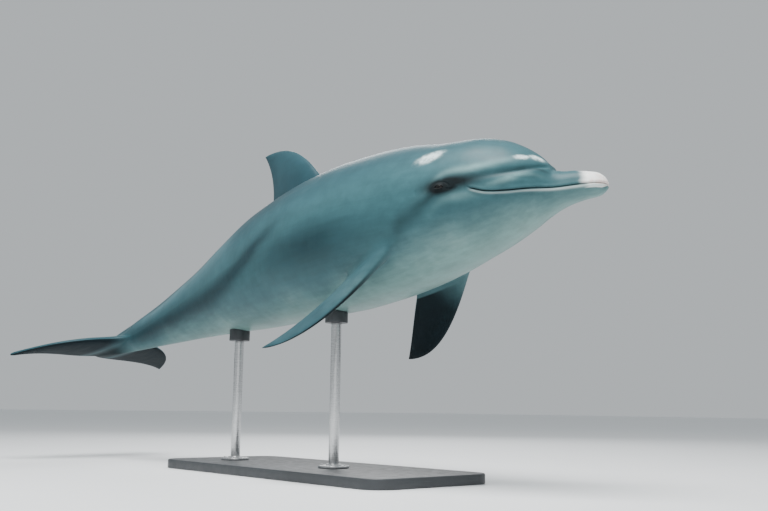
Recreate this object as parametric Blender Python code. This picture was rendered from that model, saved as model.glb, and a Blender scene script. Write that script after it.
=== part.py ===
"""A life-size bottlenose dolphin, caught mid-swim and held by two rods on a flat display base.

The body is one smooth skin around a bent spine. It is parted by thin cuts into beak, lower jaw, head,
neck, chest, trunk and tail stock. Fins, flukes, eyes and the stand meet it with the same thin gap.

Body places are written as (s, side, up), all in fractions of the body length: s runs back along the
spine from the snout tip, side is to the dolphin's left and up is towards its back. Metres, +Z up,
+X forwards, with the origin at the middle of the base's underside.
"""
import bmesh
import bpy
import numpy as np
from math import cos, pi, radians, sin
from mathutils import Matrix, Vector

# Driving dimensions, in metres
BODY_LENGTH = 2.40          # snout tip to the notch between the flukes
GAP = 0.0003                # space left between pieces that touch
SPINE_HEIGHT = 0.76         # height of the spine over the floor, at SPINE_ANCHOR
SPINE_ANCHOR = 0.30         # the s that stands at ANCHOR_X, ANCHOR_Y
ANCHOR_X = 0.36
ANCHOR_Y = -0.01

# The swimming pose, in radians
NOSE_UP = 0.045             # pitch of the chest
BACK_BEND = 0.24            # extra pitch of the tail stock, which makes the tail hang lower
FLUKE_LIFT = 0.03           # how far the flukes level out again
HEAD_NOD = 0.075            # extra pitch of the snout
BEAK_STRETCH = 0.15         # extra length of the spine along the beak
BEAK_DROOP = 0.13           # how far the beak's tip bends down again
HEAD_TURN = 0.34            # snout turned to the left
TAIL_TURN = 0.24            # tail swung to the right
BANK = -0.07                # roll of the whole body, left side down
TAIL_ROLL = 0.04            # how far the flukes roll back, left side up

# The skin's outline: (s, top, bottom, half width)
OUTLINE = np.array([
    (0.000, 0.0090, -0.0130, 0.0120),   # snout tip, before it is rounded over
    (0.012, 0.0118, -0.0150, 0.0138),
    (0.028, 0.0155, -0.0180, 0.0165),   # beak
    (0.049, 0.0205, -0.0235, 0.0235),   # crease between beak and melon
    (0.065, 0.0395, -0.0295, 0.0345),
    (0.090, 0.0585, -0.0410, 0.0505),   # melon
    (0.122, 0.0708, -0.0545, 0.0625),   # corner of the mouth
    (0.155, 0.0755, -0.0660, 0.0695),   # eye
    (0.200, 0.0818, -0.0800, 0.0765),   # neck
    (0.270, 0.0900, -0.0925, 0.0835),
    (0.350, 0.0940, -0.0975, 0.0865),   # greatest girth
    (0.430, 0.0930, -0.0945, 0.0850),
    (0.520, 0.0865, -0.0870, 0.0770),
    (0.620, 0.0715, -0.0720, 0.0615),
    (0.720, 0.0535, -0.0525, 0.0430),
    (0.820, 0.0365, -0.0340, 0.0255),
    (0.890, 0.0245, -0.0225, 0.0155),   # narrow end of the tail stock
    (0.930, 0.0165, -0.0155, 0.0120),
    (0.965, 0.0085, -0.0080, 0.0085),   # web between the flukes
    (1.000, 0.0020, -0.0020, 0.0045),   # notch
])
TIP_ROUNDING = 0.012        # how far back the snout tip's rounding reaches
WIDEST_AT = 0.47            # height of the widest place in a section, from 0 at its bottom to 1 at its top
ROUNDNESS = 0.94            # below 1 makes a section fuller than an ellipse
KEEL = 1.35                 # above 1 pinches the tail stock into keels above and below

# The mouth line: (s, up), from the snout tip to its upturned corner
MOUTH = np.array([
    (0.000, -0.0030),
    (0.020, -0.0038),
    (0.045, -0.0056),
    (0.070, -0.0062),
    (0.092, -0.0080),
    (0.110, -0.0068),
    (0.122, -0.0030),
])
MOUTH_CORNER = 0.122
SEAM_LEVEL_AT = 0.20        # behind the mouth, where the sections' seam has reached half way down

# Where the body is parted
BEAK_BACK = 0.052
HEAD_BACK = 0.175
NECK_BACK = 0.205
CHEST_BACK = 0.32
TRUNK_MIDDLE = 0.415
TRUNK_BACK = 0.60
TAIL_MIDDLE = 0.78

AROUND = 36                 # points around a section, a multiple of four

# Eyes
EYE_S = 0.155
EYE_UP = 0.002
EYE_RADIUS = 0.016
EYE_STANDS_OUT = 0.0062     # how far the eyeball stands proud of the head

# Blowhole: a lip of flesh that fills an oval dent on top of the head
BLOWHOLE_S = 0.137
BLOWHOLE_RADIUS = 0.017
BLOWHOLE_DEPTH = 0.010

# Dorsal fin edges, as curve handles (s, up)
DORSAL_LEADING = [(0.405, 0.060), (0.452, 0.135), (0.486, 0.186), (0.556, 0.187)]
DORSAL_TRAILING = [(0.560, 0.050), (0.537, 0.090), (0.532, 0.140), (0.556, 0.187)]
DORSAL_THICKNESS = (0.0150, 0.0016)     # half thickness at the root and the tip, fractions of the length

# Fluke edges, as curve handles (s, side)
FLUKE_LEADING = [(0.902, 0.000), (0.908, 0.055), (0.928, 0.129), (1.009, 0.156)]
FLUKE_TRAILING = [(0.999, 0.000), (1.026, 0.030), (0.990, 0.098), (1.009, 0.156)]
FLUKE_THICKNESS = (0.0092, 0.0014)
FLUKE_DROOP = 0.010         # how far the tips hang below the roots

# Flipper edges, as curve handles (forwards, outwards) in the flipper's own plane
FLIPPER_LEADING = [(0.031, -0.030), (0.036, 0.060), (0.028, 0.134), (-0.018, 0.175)]
FLIPPER_TRAILING = [(-0.029, -0.030), (-0.030, 0.030), (-0.016, 0.108), (-0.018, 0.175)]
FLIPPER_THICKNESS = (0.0088, 0.0014)
FLIPPER_ROOT = (0.254, 0.061, -0.055)   # (s, side, up)
FLIPPER_SPANS = {                       # (forwards, outwards, up) from root to tip
    "left": (-0.68, 0.44, -0.57),
    "right": (-0.62, 0.42, -0.68),
}
FLIPPER_BOW = 0.010                     # how far the middle bows out of the line from root to tip
FLIPPER_TWIST = radians(-8.0)           # turn about the span, leading edge down

# Stand
BASE_SIZE = (1.16, 0.46, 0.030)
BASE_CORNER = 0.07
ROD_RADIUS = 0.016
ROD_STATIONS = {"front": 0.40, "rear": 0.635}
FLANGE_RADIUS = 0.048
FLANGE_HEIGHT = 0.012
SADDLE_RADIUS = 0.036
SADDLE_DEPTH = 0.034        # from the belly down to the saddle's underside


# Curves

def ease(x, start, end):
    """Rises smoothly from 0 at start to 1 at end."""
    t = np.clip((np.asarray(x, float) - start) / (end - start), 0.0, 1.0)
    return t * t * (3.0 - 2.0 * t)


def through(x, table, column):
    """A smooth curve through one column of a table whose first column is the position."""
    knots, values = table[:, 0], table[:, column]
    x = np.clip(np.asarray(x, float), knots[0], knots[-1])
    slopes = np.gradient(values, knots)
    i = np.clip(np.searchsorted(knots, x) - 1, 0, len(knots) - 2)
    step = knots[i + 1] - knots[i]
    t = (x - knots[i]) / step
    rise = 3.0 * t ** 2 - 2.0 * t ** 3
    ends = (1.0 - rise) * values[i] + rise * values[i + 1]
    return ends + step * ((t ** 3 - 2.0 * t ** 2 + t) * slopes[i] + (t ** 3 - t ** 2) * slopes[i + 1])


def bezier(handles, t):
    """Points at each t of a cubic curve with four handles."""
    p = np.asarray(handles, float)
    t = np.asarray(t, float)[:, None]
    near, far = 1.0 - t, t
    return near ** 3 * p[0] + 3 * near ** 2 * far * p[1] + 3 * near * far ** 2 * p[2] + far ** 3 * p[3]


# Spine

def make_spine():
    """The spine's samples: s, place, and its forward, left and up directions."""
    s = np.linspace(0.0, 1.0, 401)
    pitch = NOSE_UP + BACK_BEND * ease(s, 0.20, 0.78) - FLUKE_LIFT * ease(s, 0.78, 0.97)
    pitch += HEAD_NOD * (1.0 - ease(s, 0.0, 0.18)) - BEAK_DROOP * (1.0 - ease(s, 0.0, 0.06))
    yaw = HEAD_TURN * (1.0 - ease(s, 0.0, 0.30)) + TAIL_TURN * ease(s, 0.40, 1.0)
    forward = np.stack([np.cos(yaw) * np.cos(pitch), np.sin(yaw) * np.cos(pitch), np.sin(pitch)], 1)
    left = np.stack([-np.sin(yaw), np.cos(yaw), np.zeros_like(s)], 1)
    bank = np.array(Matrix.Rotation(BANK, 3, "X"))
    forward, left = forward @ bank.T, left @ bank.T
    roll = TAIL_ROLL * ease(s, 0.60, 0.98)[:, None]
    left = left * np.cos(roll) + np.cross(forward, left) * np.sin(roll)
    lengths = BODY_LENGTH * np.diff(s) * (1.0 + BEAK_STRETCH * (1.0 - ease(s[1:], 0.03, 0.06)))
    steps = 0.5 * (forward[1:] + forward[:-1]) * lengths[:, None]
    place = np.vstack([np.zeros(3), -np.cumsum(steps, 0)])
    anchor = place[np.searchsorted(s, SPINE_ANCHOR)]
    place += np.array([ANCHOR_X, ANCHOR_Y, SPINE_HEIGHT]) - anchor
    return s, place, forward, left, np.cross(forward, left)


SPINE = make_spine()


def spine_frame(s):
    """Place, forward, left and up at each s, carried on straight past the notch."""
    s = np.atleast_1d(np.asarray(s, float))
    place, forward, left, up = (
        np.stack([np.interp(s, SPINE[0], values[:, k]) for k in range(3)], -1) for values in SPINE[1:])
    beyond = np.maximum(s - 1.0, 0.0)
    return place - BODY_LENGTH * beyond[:, None] * forward, forward, left, up


def body_place(s, side, up):
    """World points for body places."""
    place, _, left_way, up_way = spine_frame(s)
    side, up = np.atleast_1d(side)[:, None], np.atleast_1d(up)[:, None]
    return place + BODY_LENGTH * (side * left_way + up * up_way)


# Skin

def section_shape(s):
    """Top, bottom, half width and height of the widest place at s."""
    top, bottom, half_width = (through(s, OUTLINE, k) for k in (1, 2, 3))
    short_of = 1.0 - np.clip(np.asarray(s, float) / TIP_ROUNDING, 0.0, 1.0)
    rounding = np.sqrt(1.0 - short_of ** 2)
    middle = bottom + WIDEST_AT * (top - bottom)
    top, bottom = middle + rounding * (top - middle), middle + rounding * (bottom - middle)
    return top, bottom, rounding * half_width, middle


def skin_place(s, angle):
    """Side and up of the skin at s, at an angle from the top of the back towards the left."""
    top, bottom, half_width, middle = section_shape(s)
    pinch = ROUNDNESS + (KEEL - ROUNDNESS) * ease(s, 0.55, 0.86)
    across, along = np.sin(angle), np.cos(angle)
    side = half_width * np.sign(across) * np.abs(across) ** pinch
    reach = np.where(along > 0, top - middle, middle - bottom)
    return side, middle + reach * np.sign(along) * np.abs(along) ** ROUNDNESS


def angle_at(s, up):
    """The angle on the left side where the skin is at the height up."""
    top, bottom, _, middle = section_shape(s)
    reach = top - middle if up > middle else middle - bottom
    share = np.clip(abs(up - middle) / reach, 0.0, 1.0) ** (1.0 / ROUNDNESS)
    return np.arccos(share) if up > middle else pi - np.arccos(share)


def arc(s, start, end, count):
    """World points on the skin at s, between two angles."""
    angle = np.linspace(start, end, count)
    side, up = skin_place(s, angle)
    return body_place(np.full(count, s), side, up)


def whole_ring(s, seam):
    """A closed section that starts at the left mouth line and runs over the top, then underneath."""
    over = arc(s, seam, -seam, AROUND // 2 + 1)
    under = arc(s, -seam, seam - 2 * pi, AROUND // 2 + 1)
    return np.vstack([over, under[1:-1]])


def mouth_row(s, up, angle):
    """A straight row across the mouth, from the right side to the left."""
    side = skin_place(s, angle)[0]
    sides = np.linspace(-side, side, AROUND // 2 + 1)
    return body_place(np.full(len(sides), s), sides, np.full(len(sides), up))


def seam_angle(s):
    """The angle that sections start from: the mouth line's in front, half way round behind it."""
    corner = through(min(s, MOUTH_CORNER), MOUTH, 1)
    share = ease(s, MOUTH_CORNER, SEAM_LEVEL_AT)
    return (1 - share) * angle_at(min(s, SEAM_LEVEL_AT), corner) + share * pi / 2


def upper_ring(s):
    """A section of what lies above the mouth."""
    up = through(s, MOUTH, 1) + 0.5 * GAP / BODY_LENGTH
    seam = angle_at(s, up)
    return np.vstack([arc(s, seam, -seam, AROUND // 2 + 1), mouth_row(s, up, seam)[1:-1]])


def lower_ring(s):
    """A section of what lies below the mouth."""
    up = through(s, MOUTH, 1) - 0.5 * GAP / BODY_LENGTH
    seam = angle_at(s, up)
    under = arc(s, -seam, seam - 2 * pi, AROUND // 2 + 1)
    return np.vstack([under, mouth_row(s, up, seam)[-2:0:-1]])


# Meshes

def make_object(name, mesh_data, material):
    """Links a bmesh to the scene as a smooth-shaded object."""
    bmesh.ops.recalc_face_normals(mesh_data, faces=mesh_data.faces)
    mesh = bpy.data.meshes.new(name)
    mesh_data.to_mesh(mesh)
    mesh_data.free()
    mesh.shade_smooth()
    mesh.set_sharp_from_angle(angle=radians(40))
    mesh.materials.append(material)
    made = bpy.data.objects.new(name, mesh)
    bpy.context.collection.objects.link(made)
    return made


def loft(name, rings, material):
    """A closed solid through rings of equal count, capped at both ends."""
    mesh_data = bmesh.new()
    loops = [[mesh_data.verts.new(point) for point in ring] for ring in rings]
    for near, far in zip(loops, loops[1:]):
        for k in range(len(near)):
            after = (k + 1) % len(near)
            mesh_data.faces.new((near[k], near[after], far[after], far[k]))
    mesh_data.faces.new(loops[0][::-1])
    mesh_data.faces.new(loops[-1])
    bmesh.ops.remove_doubles(mesh_data, verts=mesh_data.verts, dist=1e-6)
    return make_object(name, mesh_data, material)


def paint(name, colour, roughness, metallic=0.0):
    """A plain material."""
    material = bpy.data.materials.new(name)
    material.use_nodes = True
    shader = material.node_tree.nodes["Principled BSDF"]
    shader.inputs["Base Color"].default_value = (*colour, 1.0)
    shader.inputs["Roughness"].default_value = roughness
    shader.inputs["Metallic"].default_value = metallic
    return material


def cut(target, cutter):
    """Takes a cutter's space out of an object."""
    modifier = target.modifiers.new("cut_" + cutter.name, "BOOLEAN")
    modifier.operation = "DIFFERENCE"
    modifier.solver = "EXACT"
    modifier.object = cutter


def hide_cutter(cutter):
    """Marks an object as a guide that isn't part of the model."""
    cutter.hide_render = True
    cutter.display_type = "WIRE"


# Body pieces

def stations_between(front, back, count):
    """Values of s from one cut to the next, half a gap inside each."""
    inset = 0.5 * GAP / BODY_LENGTH
    return np.linspace(front + inset, back - inset, count)


def beak_stations():
    """Values of s from the snout tip to the crease, close together where the tip rounds over."""
    return (BEAK_BACK - 0.5 * GAP / BODY_LENGTH) * np.linspace(0.06, 1.0, 9) ** 2


def build_body():
    """Beak, jaw, head, neck, chest, trunk and tail stock."""
    skin = paint("skin", (0.07, 0.16, 0.18), 0.42)
    loft("upper_beak", [upper_ring(s) for s in beak_stations()], skin)
    melon_stations = stations_between(BEAK_BACK, MOUTH_CORNER, 7)
    jaw_stations = np.concatenate([beak_stations(), melon_stations[1:]])
    loft("lower_jaw", [lower_ring(s) for s in jaw_stations], skin)
    over_mouth = [upper_ring(s) for s in melon_stations]
    behind_mouth = [whole_ring(s, seam_angle(s)) for s in np.linspace(MOUTH_CORNER, HEAD_BACK - 1e-4, 6)]
    head = loft("head", over_mouth + [upper_ring(MOUTH_CORNER)] + behind_mouth, skin)
    lengths = [
        ("neck", HEAD_BACK, NECK_BACK, 3),
        ("chest", NECK_BACK, CHEST_BACK, 6),
        ("trunk_front", CHEST_BACK, TRUNK_MIDDLE, 5),
        ("trunk_rear", TRUNK_MIDDLE, TRUNK_BACK, 8),
        ("tail_stock_front", TRUNK_BACK, TAIL_MIDDLE, 6),
        ("tail_stock_rear", TAIL_MIDDLE, 1.0, 11),
    ]
    for name, front, back, count in lengths:
        stations = stations_between(front, back, count)
        loft(name, [whole_ring(s, seam_angle(s)) for s in stations], skin)
    return head


def build_body_cutter():
    """The whole body, a gap larger all round, which trims what meets it."""
    stations = np.concatenate([beak_stations(), np.linspace(BEAK_BACK, 1.0, 50)])
    rings = [whole_ring(s, seam_angle(s)) for s in stations]
    cutter = loft("body_cutter", rings, paint("cutter", (0.8, 0.3, 0.1), 0.5))
    swell = cutter.modifiers.new("swell", "DISPLACE")
    swell.strength = GAP
    swell.mid_level = 0.0
    hide_cutter(cutter)
    return cutter


# Fins

def blade_rings(leading, trailing, normals, shares, thickness, around):
    """Streamlined sections between two edges. Thickness is half of it, at the root and the tip."""
    turn = np.linspace(0.0, 2.0 * pi, around, endpoint=False)
    chord_share = 0.5 * (1.0 - np.cos(turn))
    bulge = np.sqrt(chord_share) * (1.0 - chord_share) / 0.385
    edge = 0.0006 * BODY_LENGTH
    rings = []
    for front, back, normal, share in zip(leading, trailing, normals, shares):
        half = BODY_LENGTH * (thickness[0] + (thickness[1] - thickness[0]) * share ** 0.8)
        half = min(half, 0.16 * np.linalg.norm(back - front) + edge)
        lift = np.sin(turn) * edge + np.sign(np.sin(turn)) * (half - edge) * bulge
        rings.append(front + chord_share[:, None] * (back - front) + lift[:, None] * normal)
    return rings


def blade_shares(count):
    """Places along a fin from root to just short of the tip, closer together towards the tip."""
    return 0.985 * (1.0 - (1.0 - np.linspace(0.0, 1.0, count)) ** 1.5)


def build_dorsal_fin(cutter, material):
    """The curved fin on the back."""
    t = blade_shares(10)
    front, back = bezier(DORSAL_LEADING, t), bezier(DORSAL_TRAILING, t)
    centre = np.zeros(len(t))
    leading = body_place(front[:, 0], centre, front[:, 1])
    trailing = body_place(back[:, 0], centre, back[:, 1])
    normals = spine_frame(front[:, 0])[2]
    fin = loft("dorsal_fin", blade_rings(leading, trailing, normals, t, DORSAL_THICKNESS, 20), material)
    cut(fin, cutter)


def build_flukes(cutter, material):
    """The two halves of the tail, which meet at the notch."""
    t = blade_shares(11)
    front, back = bezier(FLUKE_LEADING, t), bezier(FLUKE_TRAILING, t)
    apart = 0.5 * GAP / BODY_LENGTH
    span = FLUKE_LEADING[-1][1]
    for name, way in (("fluke_left", 1.0), ("fluke_right", -1.0)):
        edges = []
        for edge in (front, back):
            droop = -FLUKE_DROOP * (edge[:, 1] / span) ** 2
            edges.append(body_place(edge[:, 0], way * (edge[:, 1] + apart), droop))
        normals = spine_frame(front[:, 0])[3]
        fluke = loft(name, blade_rings(*edges, normals, t, FLUKE_THICKNESS, 20), material)
        cut(fluke, cutter)


def flipper_frame(span, way):
    """A flipper's root and its forward, outward and thickness directions."""
    s, side, up = FLIPPER_ROOT
    root = body_place(s, way * side, up)[0]
    _, forward, left, up_way = (values[0] for values in spine_frame(s))
    outward = span[0] * forward + way * span[1] * left + span[2] * up_way
    outward = Vector(outward).normalized()
    chord = Vector(forward) - Vector(forward).dot(outward) * outward
    chord = Matrix.Rotation(way * FLIPPER_TWIST, 3, outward) @ chord.normalized()
    return root, np.array(chord), np.array(outward), np.array(outward.cross(chord))


def build_flippers(cutter, material):
    """The pair of pectoral fins, swept back and down."""
    t = blade_shares(11)
    front, back = bezier(FLIPPER_LEADING, t), bezier(FLIPPER_TRAILING, t)
    for name, way in (("left", 1.0), ("right", -1.0)):
        root, chord, outward, normal = flipper_frame(FLIPPER_SPANS[name], way)
        bow = (4.0 * FLIPPER_BOW * way * t * (1.0 - t))[:, None] * normal
        edges = []
        for edge in (front, back):
            edges.append(root + BODY_LENGTH * (edge[:, :1] * chord + edge[:, 1:] * outward + bow))
        normals = np.tile(normal, (len(t), 1))
        rings = blade_rings(*edges, normals, t, FLIPPER_THICKNESS, 20)
        flipper = loft("pectoral_fin_" + name, rings, material)
        cut(flipper, cutter)


# Small pieces of the head

def ball(name, centre, radius, material, segments=14, rings=8):
    """A sphere."""
    mesh_data = bmesh.new()
    bmesh.ops.create_uvsphere(mesh_data, u_segments=segments, v_segments=rings, radius=radius)
    bmesh.ops.translate(mesh_data, verts=mesh_data.verts, vec=Vector(centre))
    return make_object(name, mesh_data, material)


def build_eyes(head):
    """Two eyeballs, each in a socket of its own."""
    dark = paint("eye", (0.015, 0.013, 0.012), 0.08)
    sink = (EYE_RADIUS - EYE_STANDS_OUT) / BODY_LENGTH
    angle = angle_at(EYE_S, EYE_UP)
    side, up = skin_place(EYE_S, angle)
    for name, way in (("eye_left", 1.0), ("eye_right", -1.0)):
        centre = body_place(EYE_S, way * (side - sink), up)[0]
        ball(name, centre, EYE_RADIUS, dark)
        socket = ball(name + "_socket_cutter", centre, EYE_RADIUS + GAP, dark)
        hide_cutter(socket)
        cut(head, socket)


def build_blowhole(head):
    """The fleshy lip of the blowhole, a short plug level with the top of the head."""
    skin = paint("blowhole_lip", (0.04, 0.09, 0.10), 0.5)
    _, forward, left, up_way = (values[0] for values in spine_frame(BLOWHOLE_S))
    top = body_place(BLOWHOLE_S, 0.0, section_shape(BLOWHOLE_S)[0])[0]
    turn = np.linspace(0.0, 2.0 * pi, 20, endpoint=False)
    for name, radius, depth in (("blowhole", BLOWHOLE_RADIUS, BLOWHOLE_DEPTH),
                                ("blowhole_cutter", BLOWHOLE_RADIUS + GAP, BLOWHOLE_DEPTH + GAP)):
        rim = radius * (np.cos(turn)[:, None] * 0.6 * forward + np.sin(turn)[:, None] * left)
        height = 0.0 if name == "blowhole" else 0.02
        plug = loft(name, [top - depth * up_way + rim, top + height * up_way + rim], skin)
        if name == "blowhole_cutter":
            hide_cutter(plug)
            cut(head, plug)


# Stand

def disc(name, x, y, low, high, radius, material, segments=24):
    """An upright cylinder between two heights."""
    turn = np.linspace(0.0, 2.0 * pi, segments, endpoint=False)
    rim = np.stack([x + radius * np.cos(turn), y + radius * np.sin(turn)], 1)
    rings = [np.column_stack([rim, np.full(segments, z)]) for z in (low, high)]
    return loft(name, rings, material)


def build_base(material):
    """A flat slab with rounded corners and a softened top edge."""
    length, width, height = BASE_SIZE
    corner_turns = [radians(a) for a in (0, 18, 36, 54, 72, 90)]
    outline = []
    for quarter, (sx, sy) in enumerate(((1, 1), (-1, 1), (-1, -1), (1, -1))):
        centre = (sx * (length / 2 - BASE_CORNER), sy * (width / 2 - BASE_CORNER))
        for turn in corner_turns:
            angle = turn + quarter * pi / 2
            outline.append((centre[0] + BASE_CORNER * cos(angle), centre[1] + BASE_CORNER * sin(angle)))
    outline = np.array(outline)
    softness = 0.005
    inner = outline * (1 - 2 * softness / np.array([length, width]))
    rings = [
        np.column_stack([outline, np.zeros(len(outline))]),
        np.column_stack([outline, np.full(len(outline), height - softness)]),
        np.column_stack([inner, np.full(len(outline), height)]),
    ]
    loft("stand_base", rings, material)


def build_stand(cutter):
    """Base, and for each rod a flange, the rod and a saddle shaped to the belly."""
    dark = paint("stand_paint", (0.035, 0.038, 0.042), 0.45)
    steel = paint("stand_steel", (0.55, 0.56, 0.58), 0.30, 1.0)
    build_base(dark)
    base_top = BASE_SIZE[2]
    for name, s in ROD_STATIONS.items():
        belly = body_place(s, 0.0, section_shape(s)[1])[0]
        saddle_low = belly[2] - SADDLE_DEPTH
        flange_top = base_top + GAP + FLANGE_HEIGHT
        disc("stand_flange_" + name, belly[0], belly[1], base_top + GAP, flange_top, FLANGE_RADIUS, steel)
        rod_ends = flange_top + GAP, saddle_low - GAP
        disc("stand_rod_" + name, belly[0], belly[1], *rod_ends, ROD_RADIUS, steel, 20)
        saddle_ends = saddle_low, belly[2] + 0.03
        saddle = disc("stand_saddle_" + name, belly[0], belly[1], *saddle_ends, SADDLE_RADIUS, dark)
        cut(saddle, cutter)


def build():
    """The whole model."""
    for old in list(bpy.data.objects):
        bpy.data.objects.remove(old)
    head = build_body()
    cutter = build_body_cutter()
    fins = paint("fin_skin", (0.05, 0.12, 0.14), 0.42)
    build_dorsal_fin(cutter, fins)
    build_flukes(cutter, fins)
    build_flippers(cutter, fins)
    build_eyes(head)
    build_blowhole(head)
    build_stand(cutter)


build()
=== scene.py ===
"""The looks of a life-size bottlenose dolphin on its display stand.

One smooth skin stands for all the flesh nodes. It is a grid that runs along the spine and around the
body, from the same outline as the CAD, with the fins, eye sockets and blowhole grafted into it.
Body places are (s, side, up), in fractions of the body length: s runs back along the spine from the
snout tip, side is to the dolphin's left and up is towards its back. An angle goes round a section from
the top of the back, to the left, and the same angle without its sign is called turn. Other lengths are
in metres.
"""
from functools import partial
from math import cos, pi, radians, sin

import bmesh
import bpy
import numpy as np
from mathutils import Matrix, Vector
from mathutils.bvhtree import BVHTree


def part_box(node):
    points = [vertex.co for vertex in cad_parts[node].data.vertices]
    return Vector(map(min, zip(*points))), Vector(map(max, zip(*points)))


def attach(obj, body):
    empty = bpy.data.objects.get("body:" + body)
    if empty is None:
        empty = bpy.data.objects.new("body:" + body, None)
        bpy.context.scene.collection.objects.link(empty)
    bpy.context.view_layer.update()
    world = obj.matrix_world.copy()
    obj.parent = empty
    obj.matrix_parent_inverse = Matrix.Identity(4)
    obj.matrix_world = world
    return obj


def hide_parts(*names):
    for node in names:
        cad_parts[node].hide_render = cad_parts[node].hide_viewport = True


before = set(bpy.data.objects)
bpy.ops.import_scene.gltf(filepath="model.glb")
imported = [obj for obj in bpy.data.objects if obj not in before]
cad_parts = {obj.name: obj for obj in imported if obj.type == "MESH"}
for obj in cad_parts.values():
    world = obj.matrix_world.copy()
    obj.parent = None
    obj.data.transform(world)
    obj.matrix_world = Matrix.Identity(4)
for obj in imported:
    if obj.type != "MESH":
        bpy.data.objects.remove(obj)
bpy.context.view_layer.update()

# Driving dimensions, the same as the CAD's
BODY_LENGTH = 2.40
ANCHOR_S = 0.30
ANCHOR = (0.36, -0.01, 0.76)  # where the spine is at ANCHOR_S

# The swimming pose, in radians
NOSE_UP = 0.045
BACK_BEND = 0.24
FLUKE_LIFT = 0.03
HEAD_NOD = 0.075
HEAD_TURN = 0.34
TAIL_TURN = 0.24
BANK = -0.07
TAIL_ROLL = 0.04
BEAK_STRETCH = 0.15
BEAK_DROOP = 0.13

OUTLINE = np.array([  # of the skin: (s, top, bottom, half width)
    (0.000, 0.0090, -0.0130, 0.0120), (0.012, 0.0118, -0.0150, 0.0138),  # snout tip, not yet rounded
    (0.028, 0.0155, -0.0180, 0.0165), (0.049, 0.0205, -0.0235, 0.0235),  # beak, crease under the melon
    (0.065, 0.0395, -0.0295, 0.0345), (0.090, 0.0585, -0.0410, 0.0505),  # melon
    (0.122, 0.0708, -0.0545, 0.0625), (0.155, 0.0755, -0.0660, 0.0695),  # corner of the mouth, eye
    (0.200, 0.0818, -0.0800, 0.0765), (0.270, 0.0900, -0.0925, 0.0835),  # neck
    (0.350, 0.0940, -0.0975, 0.0865), (0.430, 0.0930, -0.0945, 0.0850),  # greatest girth
    (0.520, 0.0865, -0.0870, 0.0770), (0.620, 0.0715, -0.0720, 0.0615),
    (0.720, 0.0535, -0.0525, 0.0430), (0.820, 0.0365, -0.0340, 0.0255),
    (0.890, 0.0245, -0.0225, 0.0155), (0.930, 0.0165, -0.0155, 0.0120),  # narrow end of the tail stock
    (0.965, 0.0085, -0.0080, 0.0085), (1.000, 0.0020, -0.0020, 0.0045),  # web of the flukes, notch
])
TIP_ROUNDING = 0.012
WIDEST_AT = 0.47
ROUNDNESS = 0.94
KEEL = 1.35

MOUTH = np.array([  # the mouth line: (s, up)
    (0.000, -0.0030), (0.020, -0.0038), (0.045, -0.0056), (0.070, -0.0062),
    (0.092, -0.0080), (0.110, -0.0068), (0.122, -0.0030),
])
MOUTH_CORNER = MOUTH[-1, 0]

EYE_S = 0.155
EYE_UP = 0.002
EYE_RADIUS = 0.016
EYE_STANDS_OUT = 0.0062
EYE_BULGE = 0.0004
BLOWHOLE_S = 0.137

# Fin edges, as curve handles, and forms: half thickness at root and tip, and fillets at sides and front
DORSAL_LEADING = [(0.405, 0.060), (0.452, 0.135), (0.486, 0.186), (0.556, 0.187)]
DORSAL_TRAILING = [(0.560, 0.050), (0.537, 0.090), (0.532, 0.140), (0.556, 0.187)]
DORSAL_FORM = ((0.0150, 0.0016), (0.034, 0.085))
FLUKE_LEADING = [(0.902, 0.000), (0.908, 0.055), (0.928, 0.129), (1.009, 0.156)]
FLUKE_TRAILING = [(0.999, 0.000), (1.026, 0.030), (0.990, 0.098), (1.009, 0.156)]
FLUKE_THICKNESS = (0.0092, 0.0014)
FLUKE_DROOP = 0.010
FLUKE_START = 0.872
FLIPPER_LEADING = [(0.031, -0.030), (0.036, 0.060), (0.028, 0.134), (-0.018, 0.175)]
FLIPPER_TRAILING = [(-0.029, -0.030), (-0.030, 0.030), (-0.016, 0.108), (-0.018, 0.175)]
FLIPPER_FORM = ((0.0088, 0.0014), (0.028, 0.036))
FLIPPER_ROOT = (0.254, 0.061, -0.055)
FLIPPER_SPANS = {1: (-0.68, 0.44, -0.57), -1: (-0.62, 0.42, -0.68)}
FLIPPER_BOW = 0.010
FLIPPER_TWIST = radians(-8.0)
EDGE = 0.0006 * BODY_LENGTH  # half the thickness of a fin's blunt rear edge
SLIMNESS = 0.16  # a fin's half thickness is at most this share of its chord

# Camera: its place from the spine's anchor, and its turns
CAMERA_FROM_ANCHOR = (2.0958, -1.8282, -0.5501)
CAMERA_YAW = 0.8556
CAMERA_PITCH = 0.1639
CAMERA_ROLL = 0.0123
LENS = 43.6


# Curves

def ease(x, start, end):
    """Goes smoothly from 0 at start to 1 at end. Where end is less than start it falls from 1 to 0."""
    t = np.clip((np.asarray(x, float) - start) / (end - start), 0.0, 1.0)
    return t * t * (3.0 - 2.0 * t)


def hump(x, middle, width):
    """A smooth bump of height 1."""
    return np.exp(-((x - middle) / width) ** 2)


def through(x, table, column=1):
    """A smooth curve through one column of a table whose first column is the position."""
    knots, values = table[:, 0], table[:, column]
    x = np.clip(np.asarray(x, float), knots[0], knots[-1])
    slopes = np.gradient(values, knots)
    i = np.clip(np.searchsorted(knots, x) - 1, 0, len(knots) - 2)
    step = knots[i + 1] - knots[i]
    t = (x - knots[i]) / step
    lean = t * (1.0 - t) ** 2 * slopes[i] - t ** 2 * (1.0 - t) * slopes[i + 1]
    return values[i] + ease(t, 0.0, 1.0) * (values[i + 1] - values[i]) + step * lean


def bezier(handles, t):
    """Points at each t of a cubic curve with four handles."""
    p = np.asarray(handles, float)
    t = np.asarray(t, float)[..., None]
    left = 1.0 - t
    return left ** 3 * p[0] + 3 * left ** 2 * t * p[1] + 3 * left * t ** 2 * p[2] + t ** 3 * p[3]


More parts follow.
